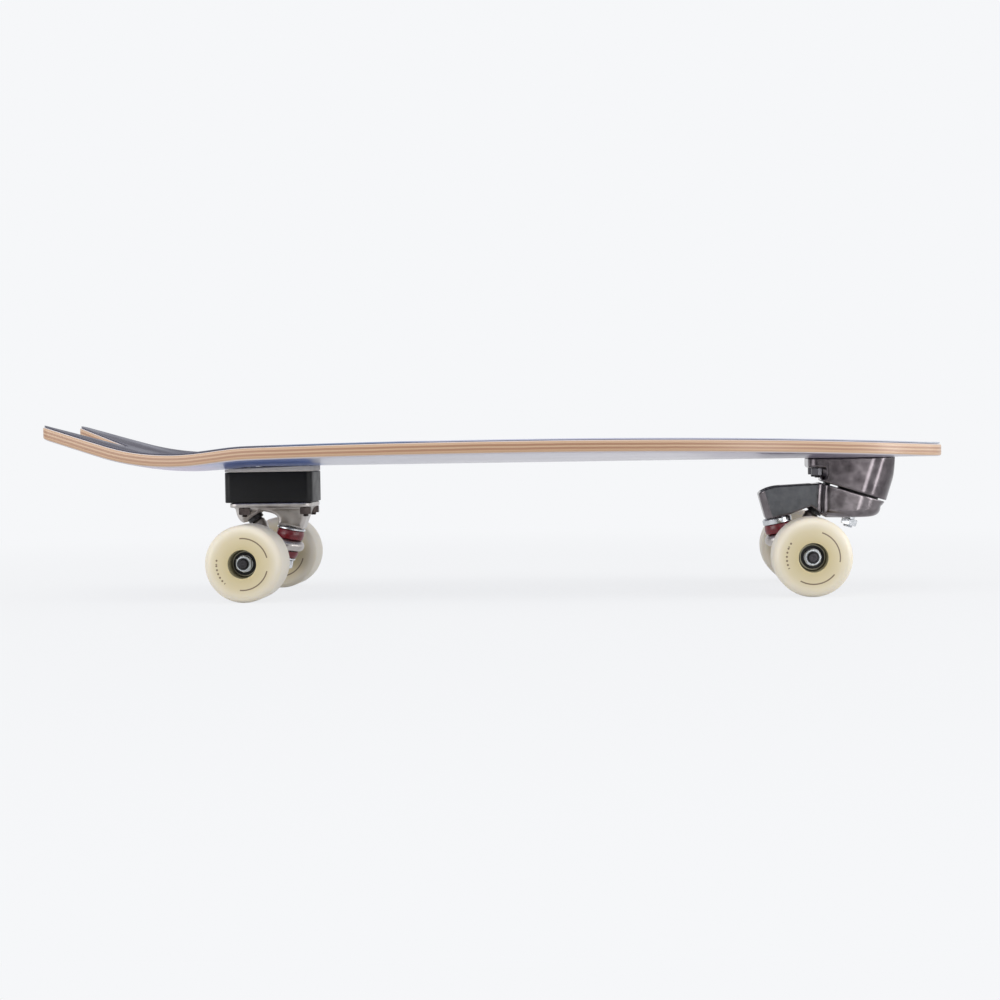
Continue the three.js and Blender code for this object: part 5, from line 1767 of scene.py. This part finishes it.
# %% [markdown]
# ## The front base and its swing arm
#
# The upper drum is bolted to the deck, and the arm's drum turns under it on an inclined pin,
# against a torsion spring inside. The drums are polished bright, with a half-round nose,
# while the arm's flanks and the top of its beam keep the rough skin of the mould.

# %% Drums
drum_half = 27
drum_nose = 25
drum_tail = 33.5
base_flange_thickness = 8.4
base_flange_bottom = base_top - base_flange_thickness
base_flange_back = -3.2
base_corner = 8
base_nose = -78
base_pull = 7
scoop_radius = 9.5
scoop_drop = 3.8
joint_gap = 1.5
blind_bore_depth = 7.1  # of the nose bolts, which screw into the base
bolt_thread_bottom = deck_underside - axle_height - blind_bore_depth
right_through = 60  # a bore this long comes out on the other side


def drum_field(space, tail_reach):
    """The drum seen along its pin, a half-round nose with straight flanks behind, and the
    height above the joint."""
    away = space.points - np.array(swing_centre, np.float32)
    reach = away @ np.array(swing_across, np.float32)
    y = np.abs(away[..., 1])
    nose = (np.hypot(reach / drum_nose, y / drum_half) - 1) * drum_half
    walls = np.where(reach < 0, nose, trim(y - drum_half, reach - tail_reach, edge=4.7))
    return walls, away @ np.array(swing_axis, np.float32)


def base_field(space):
    tail_corner, nose_corner = (flat_pair(swing_point(reach)) for reach in (drum_tail, -drum_nose - past))
    outline = [
        (base_nose, base_top + past), (base_nose, nose_corner[1]),
        flat_pair(swing_point(-drum_nose - past, -past)), flat_pair(swing_point(drum_tail, -past)),
        *curve(
            tail_corner,
            (tail_corner[0] + base_pull / 2, tail_corner[1] + base_pull),
            (tail_corner[0] + base_pull, base_flange_bottom),
            (base_flange_back - base_corner, base_flange_bottom),
        ),
        (base_flange_back + past, base_flange_bottom), (base_flange_back + past, base_top + past),
    ]
    walls, height = drum_field(space, 3 * drum_tail)
    u, y, w = space.coordinates()
    flange = round_cornered(u, y, swing_centre.x, base_flange_back - swing_centre.x, drum_half, base_corner)
    walls = np.where(u < swing_centre.x, walls, np.maximum(walls, flange))
    casting = trim(walls, space.profile(outline), edge=1.6)
    for name in bolt_names:
        if name.startswith("front") and "tail" in name:
            x, y = bolt_place(name)
            scoop = space.ball((front_spin.x - x, y, base_flange_bottom - scoop_drop), scoop_radius)
            casting = carve(casting, np.maximum(scoop, w - base_flange_bottom), edge=1.6)
    casting = trim(trim(casting, w - base_top, edge=0.7), -height, edge=0.7)
    casting = space.bored(
        casting, swing_centre, swing_axis, (spring_cavity, -past, spring_cavity_depth, 0.8),
        (pin_radius + fit, 0, right_through, 0.4),
        (pin_head_radius + 2 * fit, pin_head_depth, right_through, 0.8),
    )
    return bolt_bores(
        space, casting, "front", front_spin.x, -1, lambda name: 0 if "tail" in name else bolt_thread_bottom,
    )


# %% Swing arm
arm_half = 17.5
arm_corner = 7.5
arm_top = 58.4
arm_crown = (18, 56.8)
arm_crown_pull = 10
arm_end = (39.4, 49.8)
arm_end_pull = 3.6
arm_end_tilt = math.radians(16.3)
arm_web_reach = 5.5
drum_bottom = 29
drum_bottom_round = 14
drum_keel = 2
beam_start, beam_end = -6, 37
nose_past = 3


def arm_field(space):
    past_nose = -drum_nose - nose_past
    tail_top, nose_top = (flat_pair(swing_point(reach, -joint_gap)) for reach in (drum_tail, past_nose))
    above_joint = (flat_pair(swing_point(reach, past)) for reach in (drum_tail, past_nose))
    mouth_low = flat_pair(pivot_point(pivot_mouth, -lobe_radius))
    nose_round = nose_top[0] + drum_bottom_round / 2
    outline = [
        tail_top, *above_joint, nose_top,
        *curve(
            (nose_round, nose_top[1] - nose_past), (nose_round, drum_bottom),
            (nose_top[0] + drum_bottom_round, drum_bottom), (swing_centre.x, drum_bottom),
        ),
        (swing_centre.x + drum_bottom_round, drum_bottom), mouth_low,
        (tail_top[0], mouth_low[1] + drum_keel),
    ]
    drum, height = drum_field(space, drum_tail)
    drum = trim(drum, space.profile(outline), edge=6.5)
    seat_height, seat_back, seat_front = seat_line("front")
    inside_u, inside_w = flat_pair(swing_point(drum_tail / 2, -joint_gap))
    outline = [
        (inside_u, drum_bottom + nose_past), mouth_low, flat_pair(pivot_point(pivot_mouth, arm_web_reach)),
        seat_back, seat_front,
        *curve(
            arm_end, (arm_end[0] - arm_end_pull, arm_end[1] + arm_end_pull),
            (arm_crown[0] + arm_crown_pull, arm_crown[1]), arm_crown,
        ),
        (tail_top[0], arm_top), (inside_u, inside_w - nose_past),
    ]
    arm = space.profile(outline)
    end_across = (math.cos(arm_end_tilt), 0, -math.sin(arm_end_tilt))
    end_reach = arm_end[0] * end_across[0] + arm_end[1] * end_across[2]
    toward_end = space.points @ np.array(end_across, np.float32)
    y = space.points[..., 1]
    plan = round_cornered(toward_end, y, 0, end_reach, arm_half, arm_corner)
    arm = trim(arm, np.where(toward_end < 0, np.abs(y) - arm_half, plan), edge=1.6)
    casting = trim(melt(drum, arm, fillet=6), height + joint_gap, edge=0.7)
    casting = seats(space, casting, seat_height)
    bush_floor = -joint_gap - bush_length - 2 * fit
    return space.bored(
        casting, swing_centre, swing_axis, (bush_radius + fit, bush_floor, past, 0.6),
        (pin_thread_radius + fit, -right_through, past, 0.4),
        (nut_pocket_radius, -right_through, -nut_seat, 1),
    )


def paint(piece, index, chosen):
    """Gives a finish to the faces whose middle, in millimetres, and normal pass a test."""
    for polygon in piece.data.polygons:
        if chosen(polygon.center / MM, polygon.normal):
            polygon.material_index = index


def on_joint(height):
    """Whether a face lies on the plane across the pin at this height."""
    centre, axis = frames["front"] @ swing_centre, frames["front"].to_3x3() @ swing_axis
    return lambda middle, normal: abs(normal @ axis) > 0.9 and abs((middle - centre) @ axis - height) < 0.4


def as_cast(middle, normal):
    """Whether a face keeps the skin of the mould: the arm's flanks, and the top of its beam."""
    reach = (frames["front"].inverted() @ middle).x
    on_beam = normal.z > 0.2 and beam_start < reach < beam_end
    return on_beam or (abs(normal.y) > 0.98 and abs(abs(middle.y) - arm_half) < 0.5)


space = Space((-80, -30, 36), (0, 30, 82), casting_voxel)
base_finishes = [polished_gunmetal, painted_joint_shade]
front_base = cast_piece("front_cast_base", space.mesh(base_field(space)), base_finishes, frames["front"])
# The base's face on the joint gets the painted joint shade.
paint(front_base, 1, on_joint(0))
settle(front_base, "board", "gunmetal", "front_base")

space = Space((-78, -30, 24), (43, 30, 64), casting_voxel)
arm_finishes = [brushed_gunmetal, rough_gunmetal, painted_joint_shade]
swing_arm = cast_piece("front_cast_arm", space.mesh(arm_field(space)), arm_finishes, frames["front"])
paint(swing_arm, 1, as_cast)
# The arm's face on the joint gets the painted joint shade too.
paint(swing_arm, 2, on_joint(-joint_gap))
settle(swing_arm, "front_arm", "gunmetal", "front_swing_arm")


# %% [markdown]
# ## Inside the drums
#
# The pin, its bush and nut, the ring that the drums slide on, and the spring that brings the
# arm back. Only the nut and the dark line of the ring show.
# A thin pad at the tail end of the joint keeps the two drums from rocking.

# %% Swing joint
joint_place = frames["front"] @ at(swing_centre, swing_axis)
shank_bottom = -joint_gap - bush_length - fit
nut_base = -nut_seat - fit - swing_nut_height
pin_tip = nut_base - kingpin_tip
head_bottom = pin_head_depth + fit
pin_profile = rounded([
    (0, pin_tip), (pin_thread_radius - 0.6, pin_tip, 0.1),
    *threaded(pin_thread_radius, pin_tip + 0.2, -nut_seat), (pin_thread_radius, 0.4 - nut_seat, 0.1),
    (pin_thread_radius, shank_bottom, 0.1), (pin_radius, shank_bottom, 0.3),
    (pin_radius, head_bottom, 0.1), (pin_head_radius, head_bottom, 0.3),
    (pin_head_radius, head_bottom + pin_head_height, 0.8), (0, head_bottom + pin_head_height),
], 0.2, closed=False, steps=2)
pin = turned("front_pivot_pin", pin_profile, [zinc_steel], joint_place, sides=64, closed=False)
settle(pin, "board", "steel", "front_swing_pin")
film = 0.05  # the grease between the ring and a drum, too thin to let light through
pad_low, pad_high = film - joint_gap, -film
ring_profile = tube(spring_cavity + fit, slide_ring_radius, pad_low, pad_high, edge=0.25)
slide_ring = turned("front_slide_ring", ring_profile, [black_acetal], joint_place)
settle(slide_ring, "board", "black_rubber", "front_thrust_ring")

# %% Bush and travel bumper
bumper_middle, bumper_half_length, bumper_half_width, bumper_round = 28, 2.6, 11, 0.2
squareness = 6  # 2 would draw an ellipse, and a high number a rectangle
bumper_outline = (
    np.abs(np.cos(nut_angles) / bumper_half_length) ** squareness
    + np.abs(np.sin(nut_angles) / bumper_half_width) ** squareness
) ** (-1 / squareness)
bush_top = -joint_gap - fit
bush_profile = tube(pin_radius + fit, bush_radius, bush_top - bush_length, bush_top, edge=0.4)
# The bush uses the same bearing steel with its painted olive reflection.
bush = turned("front_bronze_bush", bush_profile, [ring_steel_with_painted_reflection], joint_place, sides=64)
settle(bush, "front_arm", "bearing_steel", "front_swing_bush")
bumper_inside = bumper_outline - bumper_round
bumper_rings = [
    ring_of(0, pad_low), ring_of(bumper_inside, pad_low),
    ring_of(bumper_outline, pad_low + bumper_round), ring_of(bumper_outline, pad_high - bumper_round),
    ring_of(bumper_inside, pad_high), ring_of(0, pad_high),
]
bumper_place = joint_place @ Matrix.Translation((bumper_middle, 0, 0))
bumper = swept("front_travel_bumper", bumper_rings, [black_acetal], bumper_place, closed=False)
settle(bumper, "front_arm", "black_rubber")
nut = hex_nut(
    "front_pin_nut", kingpin_nut_flats, swing_nut_height, pin_thread_radius + fit, [zinc_steel],
    joint_place, nut_base,
)
settle(nut, "board", "steel", "front_swing_nut")

# %% Torsion spring
spring_turns = 4
wire_radius = 1.3
coil_radius = 8.7
stations_per_turn = 40
spring_low = wire_radius + fit - joint_gap
spring_high = spring_cavity_depth - wire_radius - fit
stations = spring_turns * stations_per_turn
wire_sides = 14
turns = 2 * math.pi * spring_turns * np.linspace(0, 1, stations + 1)[:, None]
round_wire = 2 * math.pi * np.arange(wire_sides) / wire_sides
radii = coil_radius + wire_radius * np.cos(round_wire)
heights = np.linspace(spring_low, spring_high, stations + 1)[:, None] + wire_radius * np.sin(round_wire)
spring_points = np.stack([radii * np.cos(turns), radii * np.sin(turns), heights], axis=2).reshape(-1, 3)
spring_faces = [
    (a + i, a + wire_sides + i, a + wire_sides + (i + 1) % wire_sides, a + (i + 1) % wire_sides)
    for a in range(0, stations * wire_sides, wire_sides) for i in range(wire_sides)
]
spring_faces.append(tuple(range(wire_sides)))
spring_faces.append(tuple(stations * wire_sides + i for i in reversed(range(wire_sides))))
spring = new_piece(
    "front_wire_spring", spring_points, spring_faces, [spring_wire], joint_place, sharp_angle=50,
)
settle(spring, "board", "steel", "front_torsion_spring")


# %% [markdown]
# ## Mounting bolts
#
# Each truck hangs on bolts that sit two by two, so Geometry Nodes set a pair: a line of two
# points across the board with one bolt on each. The same tree is used four times. A bolt has a
# hexagon socket in its head and a thread, and one that comes out below has a lock nut too.

# %% A bolt
bolt_radius = 2.4
bolt_head_radius = 4.7
bolt_head_height = 2.8
bolt_nut_height = 6
bolt_nut_flats = 9.5
bolt_tip = 2
bolt_thread = (0.3, 8)  # where the thread starts and ends, from the bolt's tip
bolt_shank_start = 8.6
bolt_pitch, bolt_thread_depth = 0.8, 0.25
bolt_bevel = 0.5
head_edge = 0.2
socket_mouth_flats, socket_bevel, socket_flats = 3.4, 0.15, 3.2
socket_depth, socket_point = 1.7, 2.1


def bolt_template(name, length, nut):
    """A bolt that hangs down from its head's face at the origin."""
    thread_low, thread_high = (place - length for place in bolt_thread)
    thread = threaded(bolt_radius, thread_low, thread_high, bolt_pitch, bolt_thread_depth)
    thread = rounded(thread, thread_round, closed=False, steps=2)
    rings = [ring_of(0, -length), ring_of(bolt_radius - bolt_bevel, -length)]
    rings += [ring_of(*point) for point in thread]
    rings += [
        ring_of(bolt_radius, bolt_shank_start - length), ring_of(bolt_radius, -bolt_head_height),
        ring_of(bolt_head_radius - head_edge / 2, -0.35), ring_of(bolt_head_radius, -head_edge),
        ring_of(bolt_head_radius - head_edge, 0), ring_of(hexagon(socket_mouth_flats) + socket_bevel, 0),
        ring_of(hexagon(socket_flats), -head_edge), ring_of(hexagon(socket_flats), -socket_depth),
        ring_of(0, -socket_point),
    ]
    bolt = swept(name, rings, [black_oxide], closed=False, shade=30)
    if not nut:
        return bolt
    lock_nut = hex_nut(
        name + "_nut", bolt_nut_flats, bolt_nut_height, bolt_radius, [black_oxide], base=bolt_tip - length,
    )
    return joined(name, [bolt, lock_nut])


# %% The tree that sets a pair
def pair_tree():
    tree = bpy.data.node_groups.new("pair of bolts", "GeometryNodeTree")
    sockets = {}
    wanted = (("Spacing", "Float"), ("Bolt", "Object"), ("Finish", "Material"), ("Middle", "Vector"))
    for name, kind in wanted:
        socket = tree.interface.new_socket(name, in_out="INPUT", socket_type=f"NodeSocket{kind}")
        sockets[name] = socket.identifier
    tree.interface.new_socket("Geometry", in_out="OUTPUT", socket_type="NodeSocketGeometry")
    given = add(tree, "NodeGroupInput")
    across = add(tree, "ShaderNodeCombineXYZ", {1: given.outputs["Spacing"]})
    half_way = add(tree, "ShaderNodeVectorMath", {0: across.outputs[0], "Scale": -0.5}, operation="SCALE")
    ends = {0: half_way.outputs[0], 1: given.outputs["Middle"]}
    start = add(tree, "ShaderNodeVectorMath", ends, operation="ADD")
    line = add(tree, "GeometryNodeMeshLine", {
        "Count": 2, "Start Location": start.outputs[0], "Offset": across.outputs[0],
    })
    bolt = add(tree, "GeometryNodeObjectInfo", {"Object": given.outputs["Bolt"]})
    placed = add(tree, "GeometryNodeInstanceOnPoints", {
        "Points": line.outputs[0], "Instance": bolt.outputs["Geometry"],
    })
    real = add(tree, "GeometryNodeRealizeInstances", {0: placed.outputs[0]})
    coated = add(tree, "GeometryNodeSetMaterial", {0: real.outputs[0], "Material": given.outputs["Finish"]})
    add(tree, "NodeGroupOutput", {0: coated.outputs[0]})
    return tree, sockets


pair, inputs = pair_tree()
for truck in ("rear", "front"):
    for end in ("tail", "nose"):
        names = [f"{truck}_mounting_bolt_{end}_{rail}" for rail in ("left", "right")]
        low, high = cad_box_of(names[0])
        x, reach = bolt_place(names[0])
        template = bolt_template("bolt_pattern", high.z - low.z, truck == "rear" or end == "tail")
        carrier = bpy.data.objects.new("pair", bpy.data.meshes.new("pair"))
        bpy.context.scene.collection.objects.link(carrier)
        modifier = carrier.modifiers.new("pair", "NODES")
        modifier.node_group = pair
        modifier[inputs["Spacing"]] = 2 * reach * MM
        modifier[inputs["Bolt"]] = template
        modifier[inputs["Finish"]] = black_oxide if truck == "rear" else oiled_steel
        modifier[inputs["Middle"]] = (x * MM, 0, high.z * MM)
        bpy.context.view_layer.update()
        evaluated = carrier.evaluated_get(bpy.context.evaluated_depsgraph_get())
        solid = bpy.data.meshes.new_from_object(evaluated)
        bolts = bpy.data.objects.new(f"{truck}_bolts_{end}", solid)
        bpy.context.scene.collection.objects.link(bolts)
        bpy.data.objects.remove(carrier)
        bpy.data.objects.remove(template)
        settle(bolts, "board", "dark_steel", *names)
